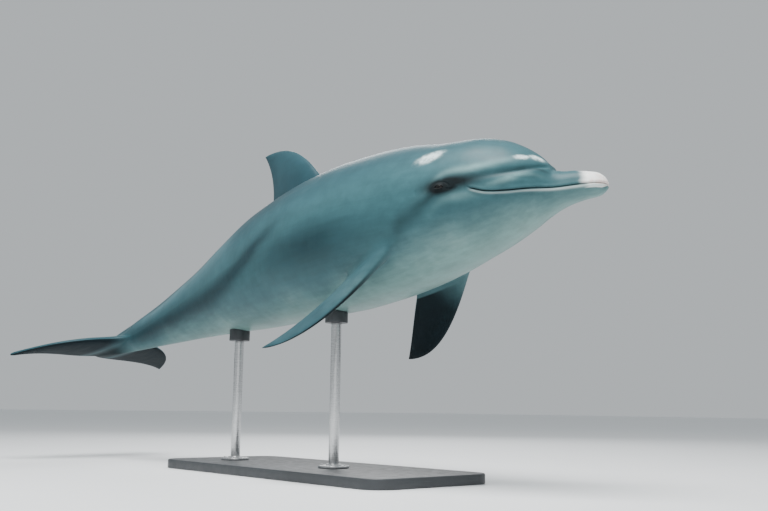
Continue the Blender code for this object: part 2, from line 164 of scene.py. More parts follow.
def bend(start, corner, end, t):
    """Points at share t of a curve from start to end that leans towards the corner."""
    return (1 - t) ** 2 * start + 2 * t * (1 - t) * corner + t ** 2 * end


def unit(v):
    """Vectors scaled to length 1."""
    return v / np.maximum(np.linalg.norm(v, axis=-1, keepdims=True), 1e-12)


def tilted(forward, up, tilt):
    """Forward and upward offsets, or directions, on axes that are tilted up by an angle."""
    return forward * cos(tilt) + up * sin(tilt), up * cos(tilt) - forward * sin(tilt)


def wrapped(angle):
    """The angle between -pi and pi."""
    return (np.asarray(angle) + pi) % (2 * pi) - pi


# Spine

def make_spine():
    """The spine's samples: s, place, and its forward, left and up directions."""
    s = np.linspace(0.0, 1.0, 401)
    pitch = NOSE_UP + BACK_BEND * ease(s, 0.20, 0.78) - FLUKE_LIFT * ease(s, 0.78, 0.97)
    pitch += HEAD_NOD * ease(s, 0.18, 0.0) - BEAK_DROOP * ease(s, 0.06, 0.0)
    yaw = HEAD_TURN * ease(s, 0.30, 0.0) + TAIL_TURN * ease(s, 0.40, 1.0)
    forward = np.stack([np.cos(yaw) * np.cos(pitch), np.sin(yaw) * np.cos(pitch), np.sin(pitch)], 1)
    left = np.stack([-np.sin(yaw), np.cos(yaw), np.zeros_like(s)], 1)
    bank = np.array(Matrix.Rotation(BANK, 3, "X"))
    forward, left = forward @ bank.T, left @ bank.T
    roll = TAIL_ROLL * ease(s, 0.60, 0.98)[:, None]
    left = left * np.cos(roll) + np.cross(forward, left) * np.sin(roll)
    lengths = BODY_LENGTH * np.diff(s) * (1.0 + BEAK_STRETCH * ease(s[1:], 0.06, 0.03))
    steps = 0.5 * (forward[1:] + forward[:-1]) * lengths[:, None]
    place = np.vstack([np.zeros(3), -np.cumsum(steps, 0)])
    place += np.array(ANCHOR) - place[np.searchsorted(s, ANCHOR_S)]
    return s, place, forward, left, np.cross(forward, left)


SPINE = make_spine()


def spine_frame(s):
    """Place, forward, left and up at each s, carried on straight past the notch."""
    s = np.asarray(s, float)
    place, forward, left, up = (
        np.stack([np.interp(s, SPINE[0], values[:, k]) for k in range(3)], -1) for values in SPINE[1:])
    beyond = np.maximum(s - 1.0, 0.0)
    return place - BODY_LENGTH * beyond[..., None] * forward, forward, left, up


def body_place(s, side, up):
    """World points for body places."""
    place, _, left_way, up_way = spine_frame(s)
    side, up = np.asarray(side)[..., None], np.asarray(up)[..., None]
    return place + BODY_LENGTH * (side * left_way + up * up_way)


def to_body(points, steps=8):
    """Body places of world points: the s whose section plane holds the point, and its side and up."""
    sparse = [values[::8] for values in SPINE]
    offset = points[:, None, :] - sparse[1][None]
    ahead = np.einsum("psk,sk->ps", offset, sparse[2])
    s = sparse[0][(np.abs(ahead) + 0.5 * np.linalg.norm(offset, axis=-1)).argmin(1)]
    for _ in range(steps):
        place, forward, left, up = spine_frame(s)
        s = np.clip(s - np.einsum("pk,pk->p", points - place, forward) / BODY_LENGTH, 0.0, 1.1)
    place, forward, left, up = spine_frame(s)
    offset = (points - place) / BODY_LENGTH
    return s, np.einsum("pk,pk->p", offset, left), np.einsum("pk,pk->p", offset, up)


def in_body(points, batch=4000):
    """Body places of many points."""
    parts = [to_body(points[k:k + batch]) for k in range(0, len(points), batch)]
    return (np.concatenate(part) for part in zip(*parts))


# Base skin

def section_shape(s):
    """Height of the widest place at s, the reach above it and below it, and the half width."""
    top, bottom, half_width = (through(s, OUTLINE, k) for k in (1, 2, 3))
    rounding = np.sqrt(1.0 - np.clip(1.0 - np.asarray(s, float) / TIP_ROUNDING, 0.0, 1.0) ** 2)
    middle = bottom + WIDEST_AT * (top - bottom)
    return middle, rounding * (top - middle), rounding * (middle - bottom), rounding * half_width


def pinch_at(s):
    """How sharply sections close above and below: rounded in front, keeled along the tail stock."""
    return ROUNDNESS + (KEEL - ROUNDNESS) * ease(s, 0.55, 0.86)


def skin_place(s, angle):
    """Side and up of the base skin at s and an angle."""
    middle, above, below, half_width = section_shape(s)
    across, along = np.sin(angle), np.cos(angle)
    reach = np.where(along > 0, above, below)
    side = half_width * np.sign(across) * np.abs(across) ** pinch_at(s)
    return side, middle + reach * np.sign(along) * np.abs(along) ** ROUNDNESS


def base_skin(s, angle):
    """World points on the base skin."""
    return body_place(s, *skin_place(s, angle))


def section_shares(s, side, up):
    """How far places are across and up their section: on the base skin, sine and cosine of the angle."""
    middle, above, below, half_width = section_shape(s)
    rise = up - middle
    reach = np.where(rise > 0, above, below)
    across = np.sign(side) * (np.abs(side) / np.maximum(half_width, 1e-9)) ** (1.0 / pinch_at(s))
    return across, np.sign(rise) * (np.abs(rise) / np.maximum(reach, 1e-9)) ** (1.0 / ROUNDNESS)


def angle_at(s, up):
    """The angle on the left side where the base skin is at the height up."""
    return np.arccos(np.clip(section_shares(s, 0.0, up)[1], -1.0, 1.0))


def angle_of(s, side, up):
    """The angle of body places, wherever they are in their section."""
    return np.arctan2(*section_shares(s, side, up))


def base_normals(s, angle):
    """Outward directions of the base skin."""
    ds, da = 4e-4, 4e-3
    back = base_skin(np.minimum(s + ds, 1.0), angle) - base_skin(np.maximum(s - ds, 1e-5), angle)
    around = base_skin(s, angle + da) - base_skin(s, angle - da)
    return unit(np.cross(around, back))


def girth_scale(s, angle):
    """Metres along the skin for each radian of angle."""
    step = 0.01
    ahead, behind = skin_place(s, angle + step), skin_place(s, angle - step)
    return BODY_LENGTH * np.hypot(ahead[0] - behind[0], ahead[1] - behind[1]) / (2 * step)


# Fine relief of the skin, in metres along its normal: swells are humps times a height, and grooves have a
# height below zero. Places on s are in fractions of the body length, turns in radians, and the offsets and
# widths of lines in metres along the skin.

MELON_LINE = np.array([  # crease between the melon and the upper jaw: (s, up)
    (0.048, 0.0215), (0.056, 0.0200), (0.067, 0.0172), (0.082, 0.0140),
    (0.100, 0.0115), (0.123, 0.0085), (0.150, 0.0045),
])
LID_LENGTH = 0.0126  # half the length of the opening between the lids
LID_TILT = radians(-9.0)  # front corner of the eye lower than the rear one
EYE_FOLDS = (  # rings: distance, width, and height below and above the eye
    (1.55, 0.16, -0.00042, -0.00120), (2.15, 0.17, -0.00060, -0.00032), (2.85, 0.22, -0.00050, 0.0))
BLOWHOLE_ARC = 0.0160  # radius of the crescent
BLOWHOLE_BACK = 0.004  # its centre is this far behind BLOWHOLE_S
BLOWHOLE_END = (radians(100), radians(72))  # how far round from its back the crescent fades out
SLITS = [  # on the belly: (s, sideways, half length, depth)
    (0.648, 0.0, 0.050, 0.0050), (0.640, 0.030, 0.014, 0.0026),
    (0.640, -0.030, 0.014, 0.0026), (0.700, 0.0, 0.011, 0.0040),
]
NAVEL_S = 0.462
STOCK_FADE = (0.868, 0.80)  # broad swells fade out before the flukes


def mouth_height(s):
    """Height of the mouth line, carried on upwards behind its corner."""
    return through(np.minimum(s, MOUTH_CORNER), MOUTH) + 0.5 * np.maximum(s - MOUTH_CORNER, 0.0)


EYE_ANGLE = float(angle_at(EYE_S, EYE_UP))
EYE_GIRTH = float(girth_scale(EYE_S, EYE_ANGLE))


def eye_offset(s, angle):
    """Forward and upward metres from the nearer eye, along its own tilted opening."""
    up = (EYE_ANGLE - np.abs(wrapped(angle))) * EYE_GIRTH
    return tilted((EYE_S - s) * BODY_LENGTH, up, LID_TILT)


def from_eye_offset(forward, up, way):
    """The s and angle of a place given by its offset from an eye."""
    forward, up = tilted(forward, up, -LID_TILT)
    return EYE_S - forward / BODY_LENGTH, way * (EYE_ANGLE - up / EYE_GIRTH)


def blowhole_offset(s, angle, scale):
    """Metres from the centre of the blowhole's arc, and the turn round it from its back."""
    forward = (BLOWHOLE_S - s) * BODY_LENGTH - BLOWHOLE_BACK
    across = wrapped(angle) * scale
    return np.hypot(forward, across), np.abs(np.arctan2(across, -forward))


def mouth_relief(s, turn, scale):
    """Lips and the groove between them, ending in an upturned corner with a fold behind it."""
    below = (turn - angle_at(s, mouth_height(s))) * scale
    lips = -0.0046 * np.exp(-(np.abs(below) / 0.0016) ** 1.6)
    lips = lips + 0.0013 * hump(below, 0.0055, 0.0042) + 0.0010 * hump(below, -0.0055, 0.0045)
    lips = lips - 0.0010 * hump(below, 0.0150, 0.0055) * ease(s, 0.02, 0.05)
    fold_line = (s - MOUTH_CORNER) * BODY_LENGTH - 0.016 + 9.0 * (below + 0.002) ** 2
    return lips * ease(s, 0.1262, 0.1200) - 0.0013 * hump(fold_line, 0.0, 0.0030) * hump(below, 0.0, 0.020)


def melon_relief(s, turn, scale):
    """The crease round the front of the melon, and the cushion of the upper jaw below it."""
    below = (turn - angle_at(s, through(s, MELON_LINE))) * scale
    along = ease(s, 0.050, 0.057) * ease(s, 0.138, 0.085)
    side_groove = -0.0040 * hump(below, 0.0, 0.0065) * along
    top_groove = -0.0038 * hump((s - 0.0495) * BODY_LENGTH, 0.0, 0.0055) * ease(turn, 1.25, 0.55)
    cushion = 0.0024 * hump(below, 0.017, 0.011) * ease(s, 0.05, 0.07) * ease(s, 0.13, 0.09)
    brow = 0.0030 * hump(below, -0.028, 0.020) * along
    return np.minimum(side_groove, top_groove) + cushion + brow


def eye_relief(s, angle):
    """The mound that the eye sits on, the folds of its lids and the ear's pinhole behind it."""
    forward, up = eye_offset(s, angle)
    away = np.hypot(forward, up)
    spread = np.hypot(forward / 0.0165, up / 0.0105)
    over = ease(up, -0.004, 0.004)
    total = 0.0030 * np.exp(-(away / 0.030) ** 2)
    for distance, width, low, high in EYE_FOLDS:
        total = total + hump(spread, distance, width) * (low + (high - low) * over)
    front_fold = hump(up + 0.18 * forward, -0.001, 0.0016) * ease(forward, 0.016, 0.021)
    rear_fold = hump(up - 0.12 * forward, 0.001, 0.0016) * ease(-forward, 0.016, 0.020)
    total = total - 0.0010 * front_fold * ease(forward, 0.048, 0.030)
    total = total - 0.0008 * rear_fold * ease(-forward, 0.038, 0.024)
    ear = hump(np.hypot(forward + 0.064, up + 0.010), 0.0, 0.0020)
    return (away < 0.12) * (total - 0.0022 * ear)


def blowhole_relief(s, angle):
    """A crescent slit with raised lips, its ends towards the snout."""
    away, round_from_back = blowhole_offset(s, angle, girth_scale(BLOWHOLE_S, 0.0))
    slit = -0.0058 * hump(away, BLOWHOLE_ARC, 0.0015)
    lips = 0.0018 * hump(away, BLOWHOLE_ARC + 0.0045, 0.0036) + 0.0014 * hump(away, 0.0075, 0.0036)
    crescent = (slit + lips) * ease(round_from_back, *BLOWHOLE_END)
    ring = -0.0006 * hump(away, 0.0235, 0.0028) * ease(round_from_back, radians(120), radians(80))
    return (away < 0.12) * (crescent + ring + 0.0016 * hump(away, 0.0, 0.030))


def belly_relief(s, angle, scale):
    """Navel and the slits under the tail stock."""
    across = np.where(angle < 0.0, -1.0, 1.0) * (pi - np.abs(angle)) * scale
    total = -0.0030 * hump((s - NAVEL_S) * BODY_LENGTH, 0.0, 0.0060) * hump(across, 0.0, 0.0030)
    total = total + 0.0028 * hump((s - SLITS[0][0]) * BODY_LENGTH, 0.0, 0.060) * hump(across, 0.0, 0.022)
    for at, sideways, half_length, depth in SLITS:
        along = ease(np.abs(s - at) * BODY_LENGTH, half_length, 0.75 * half_length)
        total = total - depth * hump(across, sideways, 0.0022) * along
    return total


def form_relief(s, turn):
    """Broad swells of muscle and blubber."""
    x = s * BODY_LENGTH
    before_flukes = ease(s, *STOCK_FADE)
    valley = -0.0050 * hump(turn, 0.80, 0.30) * ease(s, 0.52, 0.70) * before_flukes
    flank = 0.0035 * hump(turn, 1.55, 0.40) * ease(s, 0.50, 0.68) * before_flukes
    nape = -0.0050 * hump(x, 0.435, 0.060) * ease(turn, 1.1, 0.2)
    neck = -0.0014 * hump(x, 0.470 + 0.03 * (turn - 1.9), 0.007) * hump(turn, 2.0, 0.45)
    neck = neck - 0.0009 * hump(x, 0.500 + 0.05 * (turn - 1.9), 0.008) * hump(turn, 2.1, 0.40)
    ripple = 0.0008 * np.sin(19.0 * x + 2.3 * turn) * np.sin(2.1 * turn + 5.0 * x + 0.6)
    return valley + flank + nape + neck + ripple * ease(s, 0.20, 0.32) * ease(s, 0.868, 0.78)


def relief(s, angle):
    """All the relief at each s and angle."""
    signed = wrapped(angle)
    turn = np.abs(signed)
    scale = girth_scale(s, angle)
    total = form_relief(s, turn) + eye_relief(s, angle) + blowhole_relief(s, angle)
    total = total + (s < 0.16) * (mouth_relief(s, turn, scale) + melon_relief(s, turn, scale))
    total = total + (s > 0.4) * belly_relief(s, signed, scale)
    return total * ease(s, -0.004, 0.004)


def skin(s, angle):
    """World points on the finished skin."""
    s, angle = np.broadcast_arrays(np.asarray(s, float), np.asarray(angle, float))
    return base_skin(s, angle) + relief(s, angle)[..., None] * base_normals(s, angle)


# The skin's grid

TRUNK_SPACING = 0.0062  # between rows
HALF_COLUMNS = 120  # from the top of the back to the middle of the belly
SEAM_COLUMN = 60  # follows the mouth line, then the side of the body
HOLES = {  # front and rear s, first and last angle
    "dorsal": (0.350, 0.592, -0.36, 0.36),
    "blowhole": (0.119, 0.152, -0.24, 0.24),
    "flipper": (0.182, 0.325, 1.62, 2.86),
    "eye": (0.139, 0.171, EYE_ANGLE - 0.22, EYE_ANGLE + 0.22),
}


def make_rows():
    """Values of s, close together at the snout tip, on the head and before the flukes."""
    fine = np.linspace(0.0, FLUKE_START, 4001)
    spacing = TRUNK_SPACING - 0.0040 * ease(fine, 0.24, 0.17) - 0.0012 * ease(fine, 0.84, FLUKE_START)
    spacing = (spacing - 0.0012 * ease(fine, 0.02, 0.0)) * (0.12 + 0.88 * ease(fine, -0.002, 0.010))
    count = np.append(0.0, np.cumsum(BODY_LENGTH * np.diff(fine) / spacing[1:]))
    return np.interp(np.linspace(0.0, count[-1], int(round(count[-1])) + 1), count, fine)[1:]


def make_angles(s):
    """For each row, the angles of its half columns, from 0 at the top to pi underneath."""
    u = np.linspace(0.0, 1.0, HALF_COLUMNS + 1)
    behind = ease(s, MOUTH_CORNER, 0.215)
    seam = ((1 - behind) * angle_at(s, mouth_height(np.minimum(s, 0.135))) + behind * pi / 2)[:, None]
    at_mouth = 5.0 * ease(s, 0.160, 0.122)[:, None] * hump(u, SEAM_COLUMN / HALF_COLUMNS, 0.055)
    under = 2.5 * (ease(s, 0.44, 0.50) * ease(s, 0.78, 0.72))[:, None] * hump(u, 1.0, 0.06)
    crowd = 1.0 + at_mouth + under
    gaps = 2.0 / (crowd[:, 1:] + crowd[:, :-1])
    over, below = np.cumsum(gaps[:, :SEAM_COLUMN], 1), np.cumsum(gaps[:, SEAM_COLUMN:], 1)
    return np.hstack([np.zeros_like(seam), seam * over / over[:, -1:],
                      seam + (pi - seam) * below / below[:, -1:]])


class Surface:
    """Points and faces under construction, with a few values kept for each point."""

    def __init__(self):
        self.points, self.values, self.faces, self.count = [], [], [], 0

    def add(self, points, fin=0.0, lid=0.0, low=0.0):
        """Adds points and returns their indices. The values say how much they belong to a fin, how much
        painted shade they get at the edge of an eye, and how much painted shade they get on the under or
        inner side of a fin."""
        points = np.asarray(points, float).reshape(-1, 3)
        self.points.append(points)
        self.values.append(np.column_stack([np.broadcast_to(v, len(points)) for v in (fin, lid, low)]))
        self.count += len(points)
        return np.arange(self.count - len(points), self.count)

    def fan(self, loop, tip, **values):
        """Closes a loop to one new point."""
        last = int(self.add(tip, **values)[0])
        self.faces += [[a, b, last] for a, b in zip(loop.tolist(), np.roll(loop, -1).tolist())]

    def bridge(self, loops):
        """Joins loops of equal count, one to the next, with four-sided faces."""
        for near, far in zip(loops, loops[1:]):
            self.faces += np.column_stack([near, np.roll(near, -1), np.roll(far, -1), far]).tolist()


def hole_between(rows, angles, front, back, first, last):
    """A rectangle of the grid between two s and two angles, as first and last row and column. Columns
    on the right side count down from 0."""
    top, bottom = (int(np.abs(rows - s).argmin()) for s in (front, back))
    ring = angles[(top + bottom) // 2]
    left, right = (int(np.abs(wrapped(ring - angle)).argmin()) for angle in (first, last))
    return top, bottom, left - len(ring) if left > HALF_COLUMNS else left, right


def hole_edge(grid, rows, angles, hole):
    """The grid points round a hole, in order: their indices, s and angles."""
    top, bottom, left, right = hole
    down, across = list(range(top, bottom)), list(range(left, right))
    row = down + [bottom] * len(across) + [k + 1 for k in down[::-1]] + [top] * len(across)
    column = [left] * len(down) + across + [right] * len(down) + [k + 1 for k in across[::-1]]
    column = np.array(column) % grid.shape[1]
    return grid[row, column], rows[row], angles[row, column]


def facing(places, curve, turn, middle):
    """For flat places round a closed curve, the turns at which the curve lies in the same directions
    from the middle, and evenly spread turns close to them."""
    ways = [np.unwrap(np.arctan2(*(flat - middle).T)) for flat in (curve, places)]
    sense = np.sign(ways[0][-1] - ways[0][0])
    rising = np.maximum.accumulate(sense * ways[0])
    wanted = rising[0] + (sense * ways[1] - rising[0]) % (2 * pi)
    faced = np.unwrap(np.interp(wanted, rising, turn))
    even = np.arange(len(faced)) * (2 * pi / len(faced)) * np.sign(faced[-1] - faced[0])
    return faced, even + (faced - even).mean()


# Fins

def dorsal_edges(v):
    """Edge points and thickness direction of the dorsal fin at shares v from root to tip."""
    front, back = bezier(DORSAL_LEADING, v), bezier(DORSAL_TRAILING, v)
    centre = np.zeros(len(v))
    return (body_place(front[:, 0], centre, front[:, 1]), body_place(back[:, 0], centre, back[:, 1]),
            spine_frame(front[:, 0])[2])


def flipper_edges(way, v):
    """The same for a flipper."""
    s, side, up = FLIPPER_ROOT
    _, forward, left, up_way = spine_frame(s)
    span = FLIPPER_SPANS[way]
    outward = Vector(span[0] * forward + way * span[1] * left + span[2] * up_way).normalized()
    chord = Vector(forward) - Vector(forward).dot(outward) * outward
    chord = Matrix.Rotation(way * FLIPPER_TWIST, 3, outward) @ chord.normalized()
    normal = np.array(outward.cross(chord))
    bow = 4.0 * FLIPPER_BOW * way * (v * (1.0 - v))[:, None] * normal
    axes = np.array([chord, outward])
    edges = [body_place(s, way * side, up) + BODY_LENGTH * (bezier(handles, v) @ axes + bow)
             for handles in (FLIPPER_LEADING, FLIPPER_TRAILING)]
    return edges[0], edges[1], np.tile(normal, (len(v), 1))


FULLEST = 0.385  # the most that sqrt(share) * (1 - share) comes to, at a third


def fin_half(thickness, v, chord, share):
    """Half thickness of a fin at share v of its length and a share of its chord: a round front edge,
    thickest a third of the way back, and a thin rear edge."""
    most = BODY_LENGTH * (thickness[0] + (thickness[1] - thickness[0]) * v ** 0.8)
    most = np.minimum(most, SLIMNESS * chord + EDGE)
    bulge = np.sqrt(share) * (1 - share) / FULLEST
    return 2 * np.sqrt(share * (1 - share)) * EDGE + (most - EDGE) * bulge


DORSAL_RINGS = 46  # loops of points along the free fin
FLIPPER_RINGS = 60
BLENDED_LOOPS = 22  # the fillet's loops and a few on either side are smoothed


def smoothed(ring, passes):
    """Values round a closed curve with their small jumps smoothed away, and the first one repeated."""
    for _ in range(passes):
        ring = 0.25 * np.roll(ring, 1) + 0.5 * ring + 0.25 * np.roll(ring, -1)
    return np.append(ring, ring[0])


class Fin:
    """A fin, and where it meets the body as curves over the turn round its section. Places on the unrolled
    skin are flat: s and angle, both in metres. The skirt is the foot of the fin's fillet on the skin."""

    def __init__(self, edges, thickness, fillets):
        self.edges, self.thickness = edges, thickness
        self.turn = np.linspace(0.0, 2.0 * pi, 241)
        root_v = self.find_root()
        root = self.blade(root_v, self.turn)
        s, side, up = to_body(root)
        angle = np.unwrap(angle_of(s, side, up))
        self.scale = girth_scale(s, angle).mean()
        flat = np.column_stack([s * BODY_LENGTH, angle * self.scale])
        ring = flat[:-1]
        self.middle = ring.mean(0)
        ahead = np.roll(ring, -1, 0) - np.roll(ring, 1, 0)
        outward = unit(np.column_stack([ahead[:, 1], -ahead[:, 0]]))
        outward *= np.sign(((ring - self.middle) * outward).sum())
        outward = unit(np.column_stack([smoothed(outward[:, k], 3) for k in (0, 1)]))
        reach = fillets[0] + (fillets[1] - fillets[0]) * np.clip(-outward[:, 0], 0.0, 1.0) ** 2
        self.skirt = flat + reach[:, None] * outward
        speed = np.linalg.norm(self.blade(root_v + 0.02, self.turn) - root, axis=1) / 0.02
        self.root_v, self.free_v = root_v, root_v + reach / speed

    def find_root(self):
        """The shares of the fin's length where it comes out of the base skin."""
        trial = np.linspace(0.0, 0.75, 61)
        all_v, all_turn = np.meshgrid(trial, self.turn)
        tried = in_body(self.blade(all_v.ravel(), all_turn.ravel()))
        depth = np.hypot(*section_shares(*tried)).reshape(all_v.shape) ** 2
        inside = depth <= 1.0
        inside[:, 0] = True
        last = np.clip(len(trial) - 1 - np.argmax(inside[:, ::-1], 1), 0, len(trial) - 2)
        which = np.arange(len(self.turn))
        low, high = depth[which, last], depth[which, last + 1]
        share = np.clip((1.0 - low) / np.maximum(high - low, 1e-9), 0.0, 1.0)
        return smoothed((trial[last] + share * trial[1])[:-1], 4)

    def blade(self, v, turn):
        """Points on the fin's surface, at shares v of its length and turns round its section."""
        front, back, normal = self.edges(v)
        share = 0.5 * (1.0 - np.cos(turn))
        tip = np.sqrt(1.0 - np.clip((v - 0.975) / 0.025, 0.0, 1.0) ** 2)
        half = tip * fin_half(self.thickness, v, np.linalg.norm(back - front, axis=1), share)
        return front + share[:, None] * (back - front) + (np.sign(np.sin(turn)) * half)[:, None] * normal

    def at(self, turn):
        """The skirt's places at the given turns, and the shares of the fin's length where it comes out
        of the skin and where its fillet ends."""
        turn = turn % (2 * pi)
        skirt = [np.interp(turn, self.turn, self.skirt[:, k]) for k in (0, 1)]
        ends = (np.interp(turn, self.turn, v) for v in (self.root_v, self.free_v))
        return np.column_stack(skirt), *ends

    def on_skin(self, flat):
        """World points for flat places."""
        return skin(flat[:, 0] / BODY_LENGTH, flat[:, 1] / self.scale)


def graft_fin(surface, hole, fin, rings, upper=None):
    """Grows a fin out of a hole in the grid, with a smooth fillet round its root. The direction upper
    tells its upper or outer side from the other. Returns the points round the root."""
    loop, s, angle = hole
    middle = fin.middle[1] / fin.scale
    start = np.column_stack([s * BODY_LENGTH, (wrapped(angle - middle) + middle) * fin.scale])
    turn, even = facing(start, fin.skirt, fin.turn, fin.middle)
    skirt = fin.at(turn)[0]
    loops = [loop]
    for share in np.linspace(0.0, 1.0, 7)[1:]:
        loops.append(surface.add(fin.on_skin(start + share * (skirt - start))))
    for share in np.linspace(0.0, 1.0, 13)[1:]:
        here = turn + 0.25 * share * (even - turn)
        skirt, root_v, free_v = fin.at(here)
        curve = bend(fin.on_skin(skirt), fin.blade(root_v, here), fin.blade(free_v, here), share)
        loops.append(surface.add(curve, fin=0.5 * ease(share, 0.1, 1.0)))
    way = 0.0 if upper is None else np.sign(fin.edges(np.array([0.5]))[2][0] @ upper)
    for share in 1.0 - (1.0 - np.linspace(0.0, 1.0, rings)[1:]) ** 1.5:
        here = turn + (0.25 + 0.75 * ease(share, 0.0, 0.5)) * (even - turn)
        v = free_v + (0.9985 - free_v) * share
        under = 0.32 * np.maximum(np.cos(here), 0.0) ** 6 - way * np.sin(here)
        # low is painted shade on the fin's under or inner side
        low = abs(way) * ease(under, -0.05, 0.40) * ease(v, free_v.min(), 0.32)
        dark = 0.5 + 0.5 * ease(v, free_v.min(), 0.6)
        loops.append(surface.add(fin.blade(v, here), fin=dark, low=low))
    surface.bridge(loops)
    surface.fan(loops[-1], fin.blade(np.array([1.0]), np.array([0.0])), fin=1.0)
    return np.concatenate(loops[1:BLENDED_LOOPS])


# Flukes: one sheet from the end of the tail stock's rings back to the rear edges

FLUKE_ROWS = 112
FILLET_FROM = 0.882  # where the stock's side starts to curve out
FILLET_TO = 0.30  # share of the leading edge where it has joined it
NOTCH_S = FLUKE_TRAILING[0][0]
TIP_S, TIP_SIDE = FLUKE_LEADING[-1]


def fluke_outline():
    """Front edge of the left half, seen from above: the stock's side, a fillet and the leading edge."""
    stock_s = np.linspace(FLUKE_START, FILLET_FROM, 40)
    stock = np.column_stack([stock_s, section_shape(stock_s)[3]])
    edge = bezier(FLUKE_LEADING, np.linspace(FILLET_TO, 1.0, 300))
    way_in, way_out = stock[-1] - stock[-2], edge[1] - edge[0]
    step = np.linalg.solve(np.column_stack([way_in, way_out]), edge[0] - stock[-1])[0]
    fillet = bend(stock[-1], stock[-1] + step * way_in, edge[0], np.linspace(0.0, 1.0, 60)[1:-1, None])
    return np.vstack([stock, fillet, edge])


def distance_to(line, s, side):
    """Metres from places on the planform to a line of points."""
    start, way = line[:-1], np.diff(line, axis=0)
    offset = np.column_stack([s, side])[:, None] - start[None]
    along = np.clip((offset * way).sum(-1) / (way ** 2).sum(-1), 0.0, 1.0)
    return BODY_LENGTH * np.linalg.norm(offset - along[..., None] * way, axis=-1).min(1)


def fluke_heights(s, side, outline, rear):
    """Middle height, and half heights above and below it, of the flukes and the stock's end."""
    to_front, to_rear = distance_to(outline, s, side), distance_to(rear, s, side)
    chord = np.maximum(to_front + to_rear, 1e-6)
    flat_half = fin_half(FLUKE_THICKNESS, side / TIP_SIDE, chord, to_front / chord)
    middle, above, below, half_width = section_shape(s)
    ratio = np.clip(side / half_width, 0.0, 1.0)
    rounded = (1.0 - ratio ** (2.0 / pinch_at(s))) ** (0.5 * ROUNDNESS)
    ridged = hump(side * BODY_LENGTH, 0.0, 0.024) * np.sqrt(1 - (1 - np.clip(to_rear / 0.09, 0, 1)) ** 2)
    merged = ease(s, 0.880, 0.925)
    profile = (1.0 - merged) * rounded + merged * ridged
    soft = 0.016 * ease(s, FLUKE_START + 0.002, 0.91) * (1.0 - np.exp(-flat_half / 0.004))
    halves = []
    for reach in (above, below):
        stock_half = BODY_LENGTH * reach * profile
        both = stock_half + flat_half + np.hypot(stock_half - flat_half, soft)
        halves.append(0.5 * both / BODY_LENGTH)
    level = ease(s, FLUKE_START, 0.93)
    return (1.0 - level) * middle - level * FLUKE_DROOP * (side / TIP_SIDE) ** 2, *halves


def fluke_row(t, across, outline, rear):
    """The s and side of a row, at share t of the way from the stock's last ring to the rear edges. The
    shares across go from 0 in the middle to 1 at the outline."""
    lengths = np.append(0.0, np.cumsum(np.linalg.norm(np.diff(outline, axis=0), axis=1)))
    settled = ease(t, 0.0, 0.3)
    w = (1.0 - settled) * across ** pinch_at(FLUKE_START) + settled * across
    front_s, front_side = (np.interp(t * lengths[-1], lengths, outline[:, k]) for k in (0, 1))
    rear_s = np.interp(w * TIP_SIDE, rear[:, 1], rear[:, 0])
    middle_s = FLUKE_START + (NOTCH_S - FLUKE_START) * t
    s = (1 - w) * middle_s + w * front_s + t ** 3 * (rear_s - (1 - w) * NOTCH_S - w * TIP_S)
    return s, w * front_side


def graft_flukes(surface, last_ring, last_angles):
    """Carries the last ring of the tail stock on into the flukes' sheet, closed along the rear edges."""
    outline = fluke_outline()
    rear = bezier(FLUKE_TRAILING, np.linspace(0.0, 1.0, 300))
    column = np.arange(len(last_ring))
    side_column = np.minimum(column, len(column) - column)
    way = np.where(column <= HALF_COLUMNS, 1, -1)
    upper = side_column <= SEAM_COLUMN
    across = np.abs(np.sin(last_angles))
    across[side_column == SEAM_COLUMN] = 1.0
    across[side_column % HALF_COLUMNS == 0] = 0.0
    loops = [last_ring]
    for t in 1.0 - (1.0 - np.linspace(0.0, 1.0, FLUKE_ROWS)[1:]) ** 1.25:
        s, side = fluke_row(t, across, outline, rear)
        middle, above, below = fluke_heights(s, side, outline, rear)
        up = middle + np.where(upper, above, -below) * (across < 1.0) * (t < 1.0)
        points = body_place(s, way * side, up)
        fin = ease(side * BODY_LENGTH, 0.02, 0.10)
        if t < 1.0:
            # painted shade on the flukes' undersides
            loops.append(surface.add(points, fin=fin, low=fin * ~upper))
    surface.bridge(loops)
    rear_loop = np.empty(len(column), int)
    # the rear edges get half the painted shade of the undersides
    rear_loop[upper] = surface.add(points[upper], fin=fin[upper], low=0.5)
    mirrored = (2 * SEAM_COLUMN * way - column) % len(column)
    rear_loop[~upper] = rear_loop[mirrored[~upper]]
    last = np.column_stack([loops[-1], np.roll(loops[-1], -1), np.roll(rear_loop, -1), rear_loop])
    surface.faces += [list(dict.fromkeys(corners)) for corners in last.tolist()]


# Eyes and blowhole

LID_THICKNESS = 0.0017
LID_HEIGHTS = (0.0062, 0.0050)  # of the opening, above and below
LID_BLEND = 0.0016
SOCKET_GAP = 0.0006
RIM_RADIUS = 0.028  # of the disc that holds the blowhole


def lid_opening(turn):
    """Forward and upward metres round the edge of the lids: almond-shaped, flatter below."""
    rise = np.sin(turn)
    height = np.where(rise > 0, *LID_HEIGHTS)
    return LID_LENGTH * np.cos(turn), height * np.sign(rise) * np.abs(rise) ** 1.35


def eye_frame(way):
    """Centre of an eyeball and its forward, up and outward directions."""
    side, up = skin_place(EYE_S, EYE_ANGLE)
    sink = (EYE_RADIUS - EYE_STANDS_OUT) / BODY_LENGTH
    outward = base_normals(np.array([EYE_S]), np.array([way * EYE_ANGLE]))[0]
    forward = np.subtract(*base_skin(EYE_S + np.array([-0.002, 0.002]), np.full(2, way * EYE_ANGLE)))
    forward = unit(forward - (forward @ outward) * outward)
    forward, upward = tilted(forward, way * np.cross(forward, outward), LID_TILT)
    return body_place(EYE_S, way * (side - sink), up), forward, upward, outward


def on_ball(frame_of_eye, forward, up, radius):
    """Points on a sphere round the eyeball's centre, at offsets across its outward direction."""
    centre, ahead, upward, outward = frame_of_eye
    rise = np.sqrt(np.maximum(radius ** 2 - forward ** 2 - up ** 2, 0.0))
    return centre + forward[:, None] * ahead + up[:, None] * upward + rise[:, None] * outward


